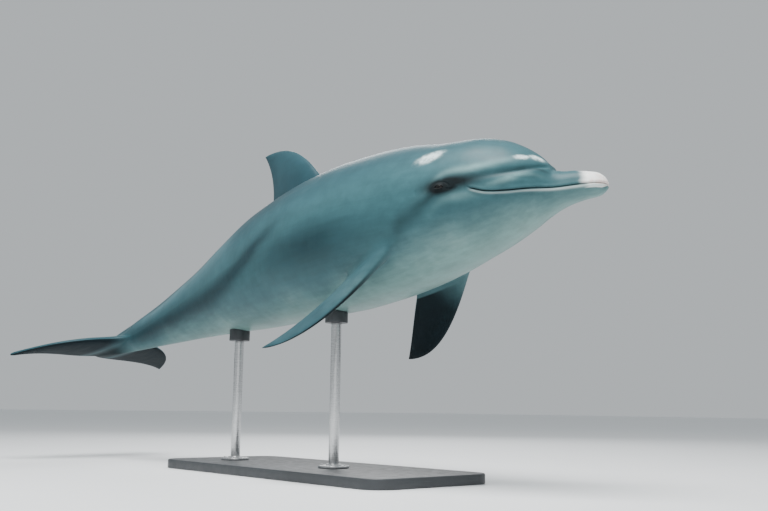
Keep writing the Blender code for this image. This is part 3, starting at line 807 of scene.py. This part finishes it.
def drawn_up(frame_of_eye, forward, up, way, share):
    """Skin points at offsets from an eye, drawn up over the ball as share goes from 0 to 1."""
    outward = frame_of_eye[3]
    points = skin(*from_eye_offset(forward, up, way))
    over = (on_ball(frame_of_eye, forward, up, EYE_RADIUS + LID_THICKNESS) - points) @ outward
    over = np.where(np.hypot(forward, up) > 0.99 * EYE_RADIUS, np.minimum(over, -0.002), over)
    raised = 0.5 * (over + np.hypot(over, LID_BLEND)) - 0.5 * LID_BLEND
    return points + (np.maximum(raised, 0.0) * ease(share, 0.1, 0.5))[:, None] * outward


def socket_rings(frame_of_eye, inner):
    """Rings of points behind the eyeball, from the lids' inner edge almost to the back."""
    centre, _, _, outward = frame_of_eye
    ray = unit(inner - centre)
    rise = np.arccos(np.clip(ray @ outward, -1.0, 1.0))
    sideways = unit(ray - (ray @ outward)[:, None] * outward)
    for share in (0.12, 0.3, 0.5, 0.7, 0.85, 0.95):
        lean = (rise + share * (pi - rise))[:, None]
        yield centre + (EYE_RADIUS + SOCKET_GAP) * (np.cos(lean) * outward + np.sin(lean) * sideways)


def graft_eye(surface, hole, way):
    """Draws the skin up into lids round an eyeball, and closes it as a socket behind the ball."""
    loop, s, angle = hole
    frame_of_eye = eye_frame(way)
    centre, _, _, outward = frame_of_eye
    start = eye_offset(s, angle)
    turn = np.linspace(0.0, 2.0 * pi, 361)
    turn, even = facing(np.column_stack(start), np.column_stack(lid_opening(turn)), turn, np.zeros(2))
    loops = [loop]
    for share in 1.0 - (1.0 - np.linspace(0.0, 1.0, 17)[1:]) ** 1.5:
        edge = lid_opening(turn + ease(share, 0.0, 1.0) * (even - turn))
        forward, up = (begun + share * (end - begun) for begun, end in zip(start, edge))
        rim = drawn_up(frame_of_eye, forward, up, way, share)
        # lid: painted shade at the lids' edge, full in the socket
        loops.append(surface.add(rim, lid=ease(share, 0.55, 1.0)))
    inner = on_ball(frame_of_eye, 0.93 * edge[0], 0.88 * edge[1], EYE_RADIUS + 0.0003)
    loops.append(surface.add(0.5 * (rim + inner) + 0.0003 * outward, lid=1.0))
    loops.append(surface.add(inner, lid=1.0))
    loops += [surface.add(ring, lid=1.0) for ring in socket_rings(frame_of_eye, inner)]
    surface.bridge(loops)
    surface.fan(loops[-1], centre - (EYE_RADIUS + SOCKET_GAP) * outward, lid=1.0)


def graft_blowhole(surface, hole):
    """Fills a hole on top of the head with close rings, fine enough for the blowhole's crescent."""
    loop, start_s, start_angle = hole
    start_angle = wrapped(start_angle)
    scale = float(girth_scale(BLOWHOLE_S, 0.0))
    middle = BLOWHOLE_S - BLOWHOLE_BACK / BODY_LENGTH
    turn = np.arctan2(start_angle * scale, (middle - start_s) * BODY_LENGTH)
    back, across = -np.cos(turn) / BODY_LENGTH, np.sin(turn) / scale
    loops = [loop]
    for share in (0.25, 0.5, 0.75, 1.0):
        s = start_s + share * (middle + RIM_RADIUS * back - start_s)
        loops.append(surface.add(skin(s, start_angle + share * (RIM_RADIUS * across - start_angle))))
    for radius in np.linspace(RIM_RADIUS, 0.0, 34)[1:-1]:
        loops.append(surface.add(skin(middle + radius * back, radius * across)))
    surface.bridge(loops)
    surface.fan(loops[-1], skin(middle, 0.0))


def build_surface():
    """The whole skin, as points and faces, and the points round the fins' roots."""
    rows = make_rows()
    half = make_angles(rows)
    angles = np.hstack([half, (2 * pi - half[:, 1:-1])[:, ::-1]])
    columns = angles.shape[1]
    surface = Surface()
    grid = surface.add(skin(rows[:, None], angles)).reshape(angles.shape)
    kept = np.ones((len(rows) - 1, columns), bool)
    holes = {}
    for name, limits in HOLES.items():
        top, bottom, left, right = hole_between(rows, angles, *limits)
        sides = {0: (left, right)}
        if left > 0:
            sides = {1: (left, right), -1: (columns - right, columns - left)}
        for way, (left, right) in sides.items():
            kept[top:bottom, np.arange(left, right) % columns] = False
            holes[name, way] = hole_edge(grid, rows, angles, (top, bottom, left, right))
    i, j = np.nonzero(kept)
    after = (j + 1) % columns
    corners = grid[i, j], grid[i, after], grid[i + 1, after], grid[i + 1, j]
    surface.faces += np.column_stack(corners).tolist()
    surface.fan(grid[0], body_place(0.0, 0.0, section_shape(0.0)[0]))
    graft_flukes(surface, grid[-1], angles[-1])
    blended = [graft_fin(surface, holes["dorsal", 0], Fin(dorsal_edges, *DORSAL_FORM), DORSAL_RINGS)]
    for way in (1, -1):
        flipper = Fin(partial(flipper_edges, way), *FLIPPER_FORM)
        upper = np.array([0.0, 0.8 * way, 0.6])
        blended.append(graft_fin(surface, holes["flipper", way], flipper, FLIPPER_RINGS, upper))
        graft_eye(surface, holes["eye", way], way)
    graft_blowhole(surface, holes["blowhole", 0])
    return surface, np.concatenate(blended)


# Markings, with painted shade and light among them, in the same units as the relief: lines along the body are
# (s, turn)

CAPE_LINE = np.array([  # lower edge of the dark back
    (0.00, 0.10), (0.05, 0.20), (0.09, 0.50), (0.155, 0.86), (0.25, 1.05),
    (0.40, 1.15), (0.55, 1.35), (0.70, 1.40), (0.85, 1.50), (1.00, 1.57),
])
BELLY_LINE = np.array([  # upper edge of the pale belly; on the head it runs low, so the cheeks and sides of the lower jaw keep a darker colour as painted shade
    (0.00, 2.15), (0.06, 2.20), (0.12, 2.25), (0.17, 2.26), (0.23, 2.36), (0.40, 2.56),
    (0.55, 2.52), (0.66, 2.38), (0.76, 2.44), (0.84, 2.85), (1.00, 3.30),
])
DARK_BAND = np.array([  # along the flank behind the dorsal fin: partly the skin's own dark band, partly painted shade under the tail stock's lit ridge
    (0.30, 1.05), (0.36, 1.17), (0.43, 1.38), (0.51, 1.62), (0.58, 1.81),
    (0.65, 1.90), (0.73, 1.86), (0.82, 1.85), (0.88, 1.80),
])
EYE_STRIPE = np.array([  # from the crease under the melon to the eye, then the flipper
    (0.048, 0.95), (0.067, 1.23), (0.093, 1.48), (0.123, 1.535),
    (0.155, 1.545), (0.172, 1.72), (0.197, 1.87), (0.215, 2.05),
])
STREAKS_AND_HIGHLIGHTS = (  # pale streaks beside the stripe, partly painted highlights on the brow and the upper jaw's cushion: offset, half width, s, half length, strength
    (-0.031, 0.0100, 0.122, 0.034, 1.0), (0.0195, 0.0065, 0.084, 0.018, 1.0),
    (0.036, 0.0120, 0.136, 0.022, 0.4),
)
GLINT_SPOTS = (  # painted glints, drawn as soft pale spots on the right of the head: (s, angle on the right, half length, half width, tilt)
    (0.173, -0.980, 0.036, 0.020, 0.42), (0.0755, -0.965, 0.019, 0.0085, 0.62),
    (0.0635, -0.640, 0.023, 0.0100, 0.95),
)


def band_and_shade_marks(s, turn, scale, below):
    """The dark band along the flank, partly the skin's own and partly painted shade under the tail stock's
    lit ridge, with painted shade on the flank before it, where the side turns down from the light, and round
    the dorsal fin's root above it.
    """
    band = hump(below, 0.0, 0.027 + 0.015 * ease(s, 0.46, 0.62)) * ease(s, 0.38, 0.50) * ease(s, 0.93, 0.84)
    band = band + 0.9 * hump((turn - 1.78) * scale, 0.0, 0.080) * hump(s, 0.36, 0.11)
    return band + 0.8 * hump(s, 0.475, 0.085) * ease(turn, 1.15, 0.70)


def eye_marks(s, angle, stripe):
    """The dark patch round the eye with the stripe through it, and the pale streaks beside the stripe, partly
    painted highlights on the brow and the upper jaw's cushion.
    """
    forward, above = eye_offset(s, angle)
    ahead = ease(EYE_S - s, -0.004, 0.006)
    width = 0.0065 + 0.0125 * ease(s, 0.085, 0.135) + 0.012 * ease(s, 0.160, 0.20)
    strength = ahead * (0.46 + 0.54 * ease(s, 0.098, 0.136)) + (1.0 - ahead) * 0.42
    eye = hump(stripe, 0.0, width) * strength * ease(s, 0.046, 0.056) * ease(s, 0.232, 0.200)
    patch = np.exp(-(np.hypot((forward - 0.012) / 0.058, (above - 0.003) / 0.0245) ** 2.3))
    eye = np.maximum(eye, patch) + 0.40 * hump(np.hypot(forward, above), 0.0, 0.045)
    return eye, sum(strength * hump(stripe, offset, width) * hump(s, at, length)
                    for offset, width, at, length, strength in STREAKS_AND_HIGHLIGHTS)


def mouth_marks(s, turn, scale):
    """The white tip of the beak, above 0 inside its edge, the pale lips, and painted shade in the groove
    between them.
    """
    x = s * BODY_LENGTH
    under = (turn - angle_at(s, mouth_height(s))) * scale
    gape, front = ease(s, 0.1262, 0.1190), ease(s, 0.085, 0.045)
    lip = hump(under, 0.0056, 0.0024 + 0.0010 * front) * (0.55 + 0.45 * front) * gape
    groove = hump(under, 0.0, 0.0026) * gape * (1.0 - 0.60 * front)
    under_tip = np.minimum((0.040 - x) / 0.010, (0.011 - under) / 0.003)
    return np.where(under < 0.0, (0.060 - 0.007 * turn - x) / 0.016, under_tip), lip, groove


def glint_marks(s, angle, scale):
    """Painted glints on the right of the head, drawn as soft pale spots."""
    pale = np.zeros(len(s))
    for at, at_angle, half_length, half_width, tilt in GLINT_SPOTS:
        run, off = tilted((at - s) * BODY_LENGTH, (at_angle - angle) * scale, -tilt)
        pale = np.maximum(pale, np.exp(-(np.hypot(run / half_length, off / half_width) ** 2.2)))
    return pale


def markings(points, values):
    """The skin's straightened places, and the values that its material turns into colour."""
    s, side, up = in_body(points)
    angle = angle_of(s, side, up)
    turn = np.abs(angle)
    scale = np.clip(girth_scale(s, turn), 0.02, 1.0)
    fin, lid, low = values.T
    cape, belly, band, stripe = (
        (turn - through(s, line)) * scale for line in (CAPE_LINE, BELLY_LINE, DARK_BAND, EYE_STRIPE))
    band = band_and_shade_marks(s, turn, scale, band)
    eye, streak_and_highlight = eye_marks(s, angle, stripe)
    tip, lip, groove = mouth_marks(s, turn, scale)
    # painted shade on the fins' undersides, carried onto the lower sides of the tail stock before the flukes
    low = np.maximum(low, ease(s, 0.885, 0.94) * ease(turn, 1.45, 1.75) * (1.0 - fin))
    # a lighter blaze above the flank band: partly the skin's own, partly painted light on the tail stock's
    # lit ridge
    blaze_and_ridge_light = hump(turn, 1.12, 0.30) * ease(s, 0.52, 0.62) * ease(s, 0.91, 0.84)
    away, round_from_back = blowhole_offset(s, angle, scale)
    # painted shade in the blowhole's slit
    hole = hump(away, BLOWHOLE_ARC, 0.0024) * (s < 0.2) * (turn < 0.5) * ease(round_from_back, *BLOWHOLE_END)
    return {
        "rest": BODY_LENGTH * np.column_stack([-s, side, up]),
        # third value: the flank's dark band, partly painted shade, with painted shade before it and round the
        # dorsal fin's root
        "countershade_and_painted_shade": np.column_stack([-cape, belly, np.clip(band, 0.0, 1.0)]),
        "face": np.column_stack([np.clip(eye, 0.0, 1.0), np.clip(streak_and_highlight, 0.0, 1.0), tip]),
        # third value: painted glints on the right of the head
        "mouth": np.column_stack([lip, groove, glint_marks(s, angle, scale)]),
        # second and third values: painted shade at the lids' edges and in the blowhole's slit
        "parts": np.column_stack([fin, lid, hole]),
        # painted shade under the fins and the stock, and the blaze with its painted light
        "sides": np.column_stack([low, blaze_and_ridge_light, np.zeros(len(s))]),
    }


def make_piece(name, points, faces, soft=None):
    """A smooth object with its faces turned outwards. The points listed in soft are relaxed, and without
    that list steep edges stay sharp."""
    mesh = bpy.data.meshes.new(name)
    mesh.from_pydata(points.tolist(), [], faces)
    draft = bmesh.new()
    draft.from_mesh(mesh)
    bmesh.ops.recalc_face_normals(draft, faces=draft.faces)
    if soft is not None:
        draft.verts.ensure_lookup_table()
        soft = [draft.verts[k] for k in soft.tolist()]
        for _ in range(6):
            bmesh.ops.smooth_vert(draft, verts=soft, factor=0.5, use_axis_x=True, use_axis_y=True,
                                  use_axis_z=True)
    draft.to_mesh(mesh)
    draft.free()
    mesh.shade_smooth()
    if soft is None:
        mesh.set_sharp_from_angle(angle=radians(40))
    made = bpy.data.objects.new(name, mesh)
    bpy.context.collection.objects.link(made)
    return made


def keep(mesh, name, data):
    """Stores three values for each vertex as an attribute that a material can read."""
    kept = mesh.attributes.new(name, "FLOAT_VECTOR", "POINT")
    kept.data.foreach_set("vector", data.astype(np.float32).ravel())


def make_skin():
    """The skin object, without the grid's points inside the holes."""
    surface, blended = build_surface()
    points, values = np.vstack(surface.points), np.vstack(surface.values)
    used = np.unique(np.fromiter((k for face in surface.faces for k in face), int))
    renumbered = np.full(len(points), -1)
    renumbered[used] = np.arange(len(used))
    faces = [[int(renumbered[k]) for k in face] for face in surface.faces]
    made = make_piece("dolphin_skin", points[used], faces, renumbered[blended])
    relaxed = np.empty((len(used), 3), np.float32)
    made.data.vertices.foreach_get("co", relaxed.ravel())
    for name, data in markings(relaxed.astype(float), values[used]).items():
        keep(made.data, name, data)
    return made


def make_eye(way, name):
    """An eyeball with a clear bulge in front, turned to look outwards through the lids."""
    centre, forward, upward, outward = eye_frame(way)
    lean = pi * np.linspace(0.0, 1.0, 49)[1:-1]
    turn = np.linspace(0.0, 2.0 * pi, 72, endpoint=False)
    lean, turn = np.meshgrid(lean, turn, indexing="ij")
    gaze = np.stack([np.sin(lean) * np.cos(turn), np.sin(lean) * np.sin(turn), np.cos(lean)], -1)
    radius = EYE_RADIUS + EYE_BULGE * hump(lean, 0.0, 0.42)
    ball = Surface()
    points = centre + radius[..., None] * (gaze @ np.array([forward, upward, outward]))
    loops = ball.add(points).reshape(lean.shape)
    ball.bridge(loops)
    ball.fan(loops[0], centre + (EYE_RADIUS + EYE_BULGE) * outward)
    ball.fan(loops[-1], centre - EYE_RADIUS * outward)
    made = make_piece(name, np.vstack(ball.points), ball.faces)
    keep(made.data, "gaze", np.vstack([gaze.reshape(-1, 3), [[0.0, 0.0, 1.0], [0.0, 0.0, -1.0]]]))
    return made


# Stand

PLATE_CORNER = 0.070
COLLAR = (0.0240, 0.004)  # radius and height of the collar round a rod
SCREW_CIRCLE = 0.036
SCREW = (0.0048, 0.0042, 0.0008)  # radius, height and depth below the collar's top
SOCKET = ((0.0024, 0.0008), (0.0022, 0.0026))  # of a screw: radii, and depths below the collar's top
SADDLE_FOOT = 0.012
SADDLE_GAP = 0.0006
SADDLE_RIM = ((0.0, 0.0016), (0.0006, 0.0006), (0.002, 0.0), (0.006, 0.0))  # inwards and down


def solid(name, *stacks):
    """A piece of closed solids, each through rings of points, with flat ends."""
    surface = Surface()
    for rings in stacks:
        loops = [surface.add(ring) for ring in rings]
        surface.bridge(loops)
        surface.faces += [loops[0].tolist(), loops[-1].tolist()[::-1]]
    return make_piece(name, np.vstack(surface.points), surface.faces)


def circles(centre, profile, count=72):
    """Rings of points round an upright axis, for a list of radii and heights."""
    turn = np.linspace(0.0, 2.0 * pi, count, endpoint=False)
    way = np.column_stack([np.cos(turn), np.sin(turn), np.zeros(count)])
    return [np.array([*centre, height]) + radius * way for radius, height in profile]


def rounded(low, high, radius, edge):
    """Radii and heights of a disc whose rims are rounded by the length edge."""
    steps = np.linspace(0.0, pi / 2, 5)
    lower = [(radius - edge * (1 - sin(a)), low + edge * (1 - cos(a))) for a in steps]
    upper = [(radius - edge * (1 - cos(a)), high - edge * (1 - sin(a))) for a in steps]
    return lower + upper


def measured(node):
    """Centre of a node's box seen from above, its lowest and highest z, and its radius."""
    low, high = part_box(node)
    return (0.5 * (low[0] + high[0]), 0.5 * (low[1] + high[1])), low[2], high[2], 0.5 * (high[0] - low[0])


def make_base():
    """The base plate, with round corners and softened edges."""
    low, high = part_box("stand_base")
    x, y = high[0] - PLATE_CORNER, high[1] - PLATE_CORNER
    rings = []
    for radius, height in rounded(low[2], high[2], PLATE_CORNER, 0.004):
        ring = []
        for k, (way_x, way_y) in enumerate(((1, 1), (-1, 1), (-1, -1), (1, -1))):
            for a in np.linspace(k * pi / 2, (k + 1) * pi / 2, 17):
                ring.append((way_x * x + radius * cos(a), way_y * y + radius * sin(a), height))
        rings.append(ring)
    return solid("stand_base_plate", rings)


def make_flange(node):
    """A foot for a rod, with a raised collar and four cap screws."""
    centre, low, high, radius = measured(node)
    collar_radius, collar_height = COLLAR
    shoulder = high - collar_height
    disc = rounded(low, shoulder, radius, 0.0015) + [(collar_radius + 0.0005, shoulder)]
    stacks = [circles(centre, disc + rounded(shoulder, high, collar_radius, 0.0012)[5:])]
    screw_radius, screw_height, depth = SCREW
    head = rounded(high - depth - screw_height, high - depth, screw_radius, 0.0008)
    head += [(r, high - drop) for r, drop in SOCKET]
    for a in pi / 4 + np.arange(4) * pi / 2:
        place = (centre[0] + SCREW_CIRCLE * cos(a), centre[1] + SCREW_CIRCLE * sin(a))
        stacks.append(circles(place, head, 24))
    return solid(node + "_foot", *stacks)


def make_rod(node):
    """A rod with softened ends."""
    centre, low, high, radius = measured(node)
    return solid(node + "_tube", circles(centre, rounded(low, high, radius, 0.0012), 96))


def make_saddle(node, tree):
    """A padded cup whose top follows the belly."""
    centre, low, _, radius = measured(node)
    rings = circles(centre, rounded(low, low + SADDLE_FOOT, radius, 0.002)[:7])
    rim = [(radius - inwards, down) for inwards, down in SADDLE_RIM]
    for r, down in rim + [(0.6 * radius, 0.0), (0.3 * radius, 0.0)]:
        ring = circles(centre, [(r, low)])[0]
        for point in ring:
            hit = tree.ray_cast(Vector((point[0], point[1], low - 0.05)), Vector((0.0, 0.0, 1.0)))[0]
            point[2] = hit[2] - SADDLE_GAP - down
        rings.append(ring)
    return solid(node + "_cup", rings)


# Materials

def colour(*screen):
    """A linear colour from red, green and blue screen values between 0 and 255."""
    return tuple(v / 255 / 12.92 if v < 10.3 else ((v / 255 + 0.055) / 1.055) ** 2.4 for v in screen) + (1.0,)


class Shader:
    """A material and short ways to add nodes to it."""

    def __init__(self, name):
        self.material = bpy.data.materials.new(name)
        self.material.use_nodes = True
        self.tree = self.material.node_tree

    def node(self, kind, inputs, output=0, **settings):
        """Adds a node, sets or links its inputs, and returns one of its outputs."""
        made = self.tree.nodes.new("ShaderNode" + kind)
        for name, value in settings.items():
            setattr(made, name, value)
        self.feed(made, inputs)
        return made.outputs[output]

    def feed(self, node, inputs):
        """Sets or links a node's inputs."""
        for name, value in inputs.items():
            if isinstance(value, bpy.types.NodeSocket):
                self.tree.links.new(value, node.inputs[name])
            else:
                node.inputs[name].default_value = value

    def finish(self, **inputs):
        """Sets or links the inputs of the surface's shader, and returns the material."""
        names = {name.replace("_", " "): value for name, value in inputs.items()}
        self.feed(self.tree.nodes["Principled BSDF"], names)
        return self.material

    def place(self):
        """World places."""
        return self.node("NewGeometry", {})

    def read(self, name):
        """The three values of an attribute as a vector."""
        return self.node("Attribute", {}, output=1, attribute_name=name)

    def three(self, name):
        """The three values of an attribute, one by one."""
        return self.node("SeparateXYZ", {0: self.read(name)}).node.outputs[:]

    def math(self, operation, *values):
        """One sum."""
        return self.node("Math", dict(enumerate(values)), operation=operation)

    def swing(self, value, size):
        """A value from 0 to 1 turned into one from minus to plus half the size."""
        return self.math("MULTIPLY", self.math("SUBTRACT", value, 0.5), size)

    def noise(self, place, scale, detail=3.0, roughness=0.5):
        """Noise from 0 to 1."""
        return self.node("TexNoise", {"Vector": place, "Scale": scale, "Detail": detail,
                                      "Roughness": roughness})

    def stretched(self, place, *scales):
        """Coordinates scaled along each axis."""
        return self.node("VectorMath", {0: place, 1: scales}, operation="MULTIPLY")

    def length(self, vector):
        """Length of a vector."""
        return self.node("VectorMath", {0: vector}, output=1, operation="LENGTH")

    def rise(self, value, low, high, to_low=0.0, to_high=1.0):
        """Rises smoothly from one value to another as the input goes from low to high."""
        limits = {"From Min": low, "From Max": high, "To Min": to_low, "To Max": to_high}
        return self.node("MapRange", {"Value": value, **limits}, interpolation_type="SMOOTHSTEP")

    def mix(self, factor, a, b, blend="MIX"):
        """Two colours mixed."""
        return self.node("Mix", {0: factor, 6: a, 7: b}, output=2, data_type="RGBA", blend_type=blend)

    def layered(self, base, layers):
        """A colour with others laid over it, each by an amount times a strength."""
        for amount, strength, over in layers:
            base = self.mix(self.math("MULTIPLY", amount, strength), base, over)
        return base

    def bump(self, height, strength, distance, **before):
        """A bump in metres."""
        return self.node("Bump", {"Height": height, "Strength": strength, "Distance": distance, **before})


def skin_colour(m, broad, cloud, flow, grain):
    """Dark back, pale belly, the flank's dark band and the marks on fins and eye, with painted shade on the
    flank, cheeks, belly and undersides, painted light on the tail stock's ridge, and a fine uneven tint.
    """
    cape, belly, band = m.three("countershade_and_painted_shade")
    eye, streak_and_highlight, _ = m.three("face")
    fin, _, _ = m.three("parts")
    low, blaze_and_ridge_light, _ = m.three("sides")
    ragged = m.math("ADD", m.swing(broad, 0.10), m.swing(flow, 0.035))
    cape = m.rise(m.math("ADD", cape, ragged), -0.075, 0.085)
    belly = m.rise(m.math("ADD", belly, ragged), -0.060, 0.110)
    base = m.layered(m.mix(cape, colour(58, 94, 100), colour(39, 71, 79)), (
        # lighter blaze, partly painted light on the tail stock's ridge
        (blaze_and_ridge_light, 0.60, colour(78, 116, 124)),
        # the flank's dark band, partly painted shade, with painted shade before it and round the dorsal fin's
        # root
        (band, m.rise(cloud, 0.15, 0.7, 0.62, 0.90), colour(21, 43, 50)),
        # the pale belly, its colour partly toned down as painted shade
        (belly, 1.0, colour(108, 138, 135)),
        (belly, m.rise(broad, 0.5, 0.75, 0.0, 0.35), colour(126, 138, 131)),  # faint warm blush
        (fin, 0.85, colour(43, 72, 80)),
        # painted shade on the undersides of the fins, flukes and tail stock
        (low, 0.92, colour(7, 16, 21)),
        # pale streaks, partly painted highlights on the brow and the upper jaw's cushion
        (streak_and_highlight, 0.62, colour(138, 178, 178)),
        (eye, m.rise(cloud, 0.2, 0.8, 0.90, 0.98), colour(4, 8, 11)),
    ))
    tint = 1.0
    swings = ((cloud, 0.25, 0.10), (flow, 0.25, 0.07), (broad, 0.3, 0.07), (grain, 0.3, 0.025))
    for noise, start, size in swings:
        tint = m.math("MULTIPLY", tint, m.rise(noise, start, 1.0 - start, 1.0 - size, 1.0 + size))
    return m.mix(1.0, base, m.node("CombineColor", {0: tint, 1: tint, 2: tint}), "MULTIPLY")


def face_colour(m, base, cloud, speckle):
    """A colour with the white beak tip, painted glints as pale spots, the pale lips, and painted shade in the
    openings over it.
    """
    _, _, tip = m.three("face")
    lip, groove, pale = m.three("mouth")
    _, lid, hole = m.three("parts")
    white = m.rise(m.math("ADD", tip, m.swing(cloud, 1.6)), -0.8, 0.8)
    worn = m.mix(m.rise(cloud, 0.46, 0.62), colour(244, 245, 242), colour(236, 218, 212))
    # painted glints on the right of the head, as soft pale spots
    glint_spot = m.rise(m.math("MULTIPLY", pale, m.rise(speckle, 0.25, 0.75, 0.60, 1.40)), 0.06, 1.00, 0.0, 0.88)
    # painted shade for the mouth's groove, the lids' edges and the blowhole's slit
    inside = colour(18, 22, 24)
    return m.layered(base, (
        (white, 0.94, worn),
        (glint_spot, 1.0, colour(214, 234, 234)),
        (lip, 0.80, colour(182, 198, 196)),
        (groove, 0.85, inside),
        (lid, 0.80, inside),
        (hole, 0.45, inside),
    ))


def skin_material():
    """Countershaded grey skin with its face markings, painted shade and light, fine streaks and grain."""
    m = Shader("dolphin_skin")
    rest = m.read("rest")
    broad = m.noise(rest, 5.0, 4.0, 0.55)
    cloud = m.noise(rest, 22.0, 4.0, 0.6)
    speckle = m.noise(rest, 75.0, 3.0, 0.6)
    flow = m.noise(m.stretched(rest, 7.0, 60.0, 60.0), 1.0, 4.0, 0.6)
    grain = m.noise(rest, 420.0, 3.0, 0.6)
    base = face_colour(m, skin_colour(m, broad, cloud, flow, grain), cloud, speckle)
    eye, low = m.three("face")[0], m.three("sides")[0]
    rough = m.math("ADD", m.rise(flow, 0.2, 0.8, 0.36, 0.46), m.swing(grain, 0.10))
    rough = m.math("ADD", rough, m.math("MULTIPLY", m.math("MAXIMUM", low, eye), 0.32))
    swells = m.bump(m.noise(m.stretched(rest, 26.0, 14.0, 14.0), 1.0), 0.55, 0.0016)
    normal = m.bump(m.noise(rest, 900.0, 2.0), 0.35, 0.00015, Normal=swells)
    return m.finish(Base_Color=base, Roughness=rough, Normal=normal, Specular_IOR_Level=0.13)


def eye_material():
    """A dark brown eye with a pupil drawn out sideways."""
    m = Shader("dolphin_eye")
    gaze = m.read("gaze")
    flat = m.stretched(gaze, 1.0, 1.0, 0.0)
    reach = m.length(flat)
    fibres = m.noise(m.node("VectorMath", {0: flat}, operation="NORMALIZE"), 9.0, 4.0, 0.6)
    iris = m.mix(fibres, colour(10, 8, 6), colour(23, 17, 12))
    iris = m.mix(m.rise(reach, 0.40, 0.58), iris, colour(8, 7, 6))
    white = m.mix(m.noise(gaze, 9.0), colour(16, 13, 13), colour(27, 22, 21))
    base = m.mix(m.rise(reach, 0.60, 0.68), iris, white)
    pupil = m.rise(m.length(m.stretched(gaze, 0.62, 1.25, 0.0)), 0.20, 0.24)
    base = m.mix(pupil, colour(4, 6, 9), base)
    return m.finish(Base_Color=base, Roughness=0.07, Specular_IOR_Level=0.4)


def paint_material():
    """Charcoal satin paint with a fine orange-peel grain."""
    m = Shader("stand_paint")
    place = m.place()
    base = m.mix(m.noise(place, 9.0, 4.0), colour(47, 50, 53), colour(58, 61, 64))
    base = m.mix(m.rise(m.noise(place, 700.0, 2.0), 0.62, 0.8, 0.0, 0.25), base, colour(96, 99, 102))
    rough = m.rise(m.noise(place, 40.0, 4.0), 0.3, 0.7, 0.42, 0.54)
    peel = m.bump(m.noise(place, 1100.0, 2.0), 0.35, 0.0004)
    return m.finish(Base_Color=base, Roughness=rough, Normal=peel)


def steel_material():
    """Brushed steel, its marks running round the rods."""
    m = Shader("stand_steel")
    marks = m.noise(m.stretched(m.place(), 20.0, 20.0, 2600.0), 1.0, 3.0, 0.6)
    base = m.mix(marks, colour(196, 197, 198), colour(214, 214, 214))
    rough = m.rise(marks, 0.2, 0.8, 0.22, 0.36)
    return m.finish(Base_Color=base, Metallic=1.0, Roughness=rough, Normal=m.bump(marks, 0.25, 0.0002))


def floor_material():
    """Plain pale floor."""
    m = Shader("floor_pale")
    base = m.mix(m.noise(m.place(), 2.0), colour(232, 234, 235), colour(236, 238, 239))
    return m.finish(Base_Color=base, Roughness=0.6)


# The model

def dress(made, material, slot, *nodes):
    """Gives a piece its material, its body and the nodes it stands for. The slot is not used."""
    made.data.materials.clear()
    made.data.materials.append(material)
    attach(made, "root")
    if nodes:
        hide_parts(*nodes)


skin_object = make_skin()
FLESH = [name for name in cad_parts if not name.startswith(("stand_", "eye_"))]
dress(skin_object, skin_material(), "skin", *FLESH)
eyes = eye_material()
for way, side_name in ((1, "left"), (-1, "right")):
    dress(make_eye(way, "eyeball_" + side_name), eyes, "eye", "eye_" + side_name)

paint, steel = paint_material(), steel_material()
skin_tree = BVHTree.FromPolygons([v.co[:] for v in skin_object.data.vertices],
                                 [p.vertices[:] for p in skin_object.data.polygons])
dress(make_base(), paint, "stand_paint", "stand_base")
for end in ("front", "rear"):
    dress(make_flange("stand_flange_" + end), steel, "stand_steel", "stand_flange_" + end)
    dress(make_rod("stand_rod_" + end), steel, "stand_steel", "stand_rod_" + end)
    dress(make_saddle("stand_saddle_" + end, skin_tree), paint, "stand_paint", "stand_saddle_" + end)


# The studio

def make_floor():
    """A large plain floor."""
    bpy.ops.mesh.primitive_grid_add(size=80.0, x_subdivisions=8, y_subdivisions=8)
    made = bpy.context.object
    made.name = "floor"
    made.data.materials.append(floor_material())


def make_light(name, place, target, size, power):
    """A soft square light aimed at a place."""
    light = bpy.data.lights.new(name, "AREA")
    light.size = size
    light.energy = power
    made = bpy.data.objects.new(name, light)
    bpy.context.collection.objects.link(made)
    made.location = place
    made.rotation_euler = (Vector(target) - Vector(place)).to_track_quat("-Z", "Y").to_euler()


def make_camera():
    """The camera, below the animal and looking up at its right side."""
    lens = bpy.data.cameras.new("camera")
    lens.lens = LENS
    made = bpy.data.objects.new("camera", lens)
    bpy.context.collection.objects.link(made)
    pitched = Matrix.Rotation(pi / 2 + CAMERA_PITCH, 4, "X") @ Matrix.Rotation(CAMERA_ROLL, 4, "Z")
    place = Matrix.Translation(Vector(ANCHOR) + Vector(CAMERA_FROM_ANCHOR))
    made.matrix_world = place @ Matrix.Rotation(CAMERA_YAW, 4, "Z") @ pitched
    bpy.context.scene.camera = made


make_floor()
make_camera()
make_light("key", (0.9, -1.0, 3.7), (0.1, 0.0, 0.8), 2.0, 285.0)
make_light("fill", (3.6, -3.2, 1.6), (0.0, 0.0, 0.7), 3.0, 14.0)
make_light("rim", (-2.6, 2.4, 2.8), (0.0, 0.0, 0.8), 2.0, 75.0)
world = bpy.data.worlds.new("studio")
world.use_nodes = True
world.node_tree.nodes["Background"].inputs["Color"].default_value = (0.80, 0.85, 0.88, 1.0)
world.node_tree.nodes["Background"].inputs["Strength"].default_value = 0.66
bpy.context.scene.world = world
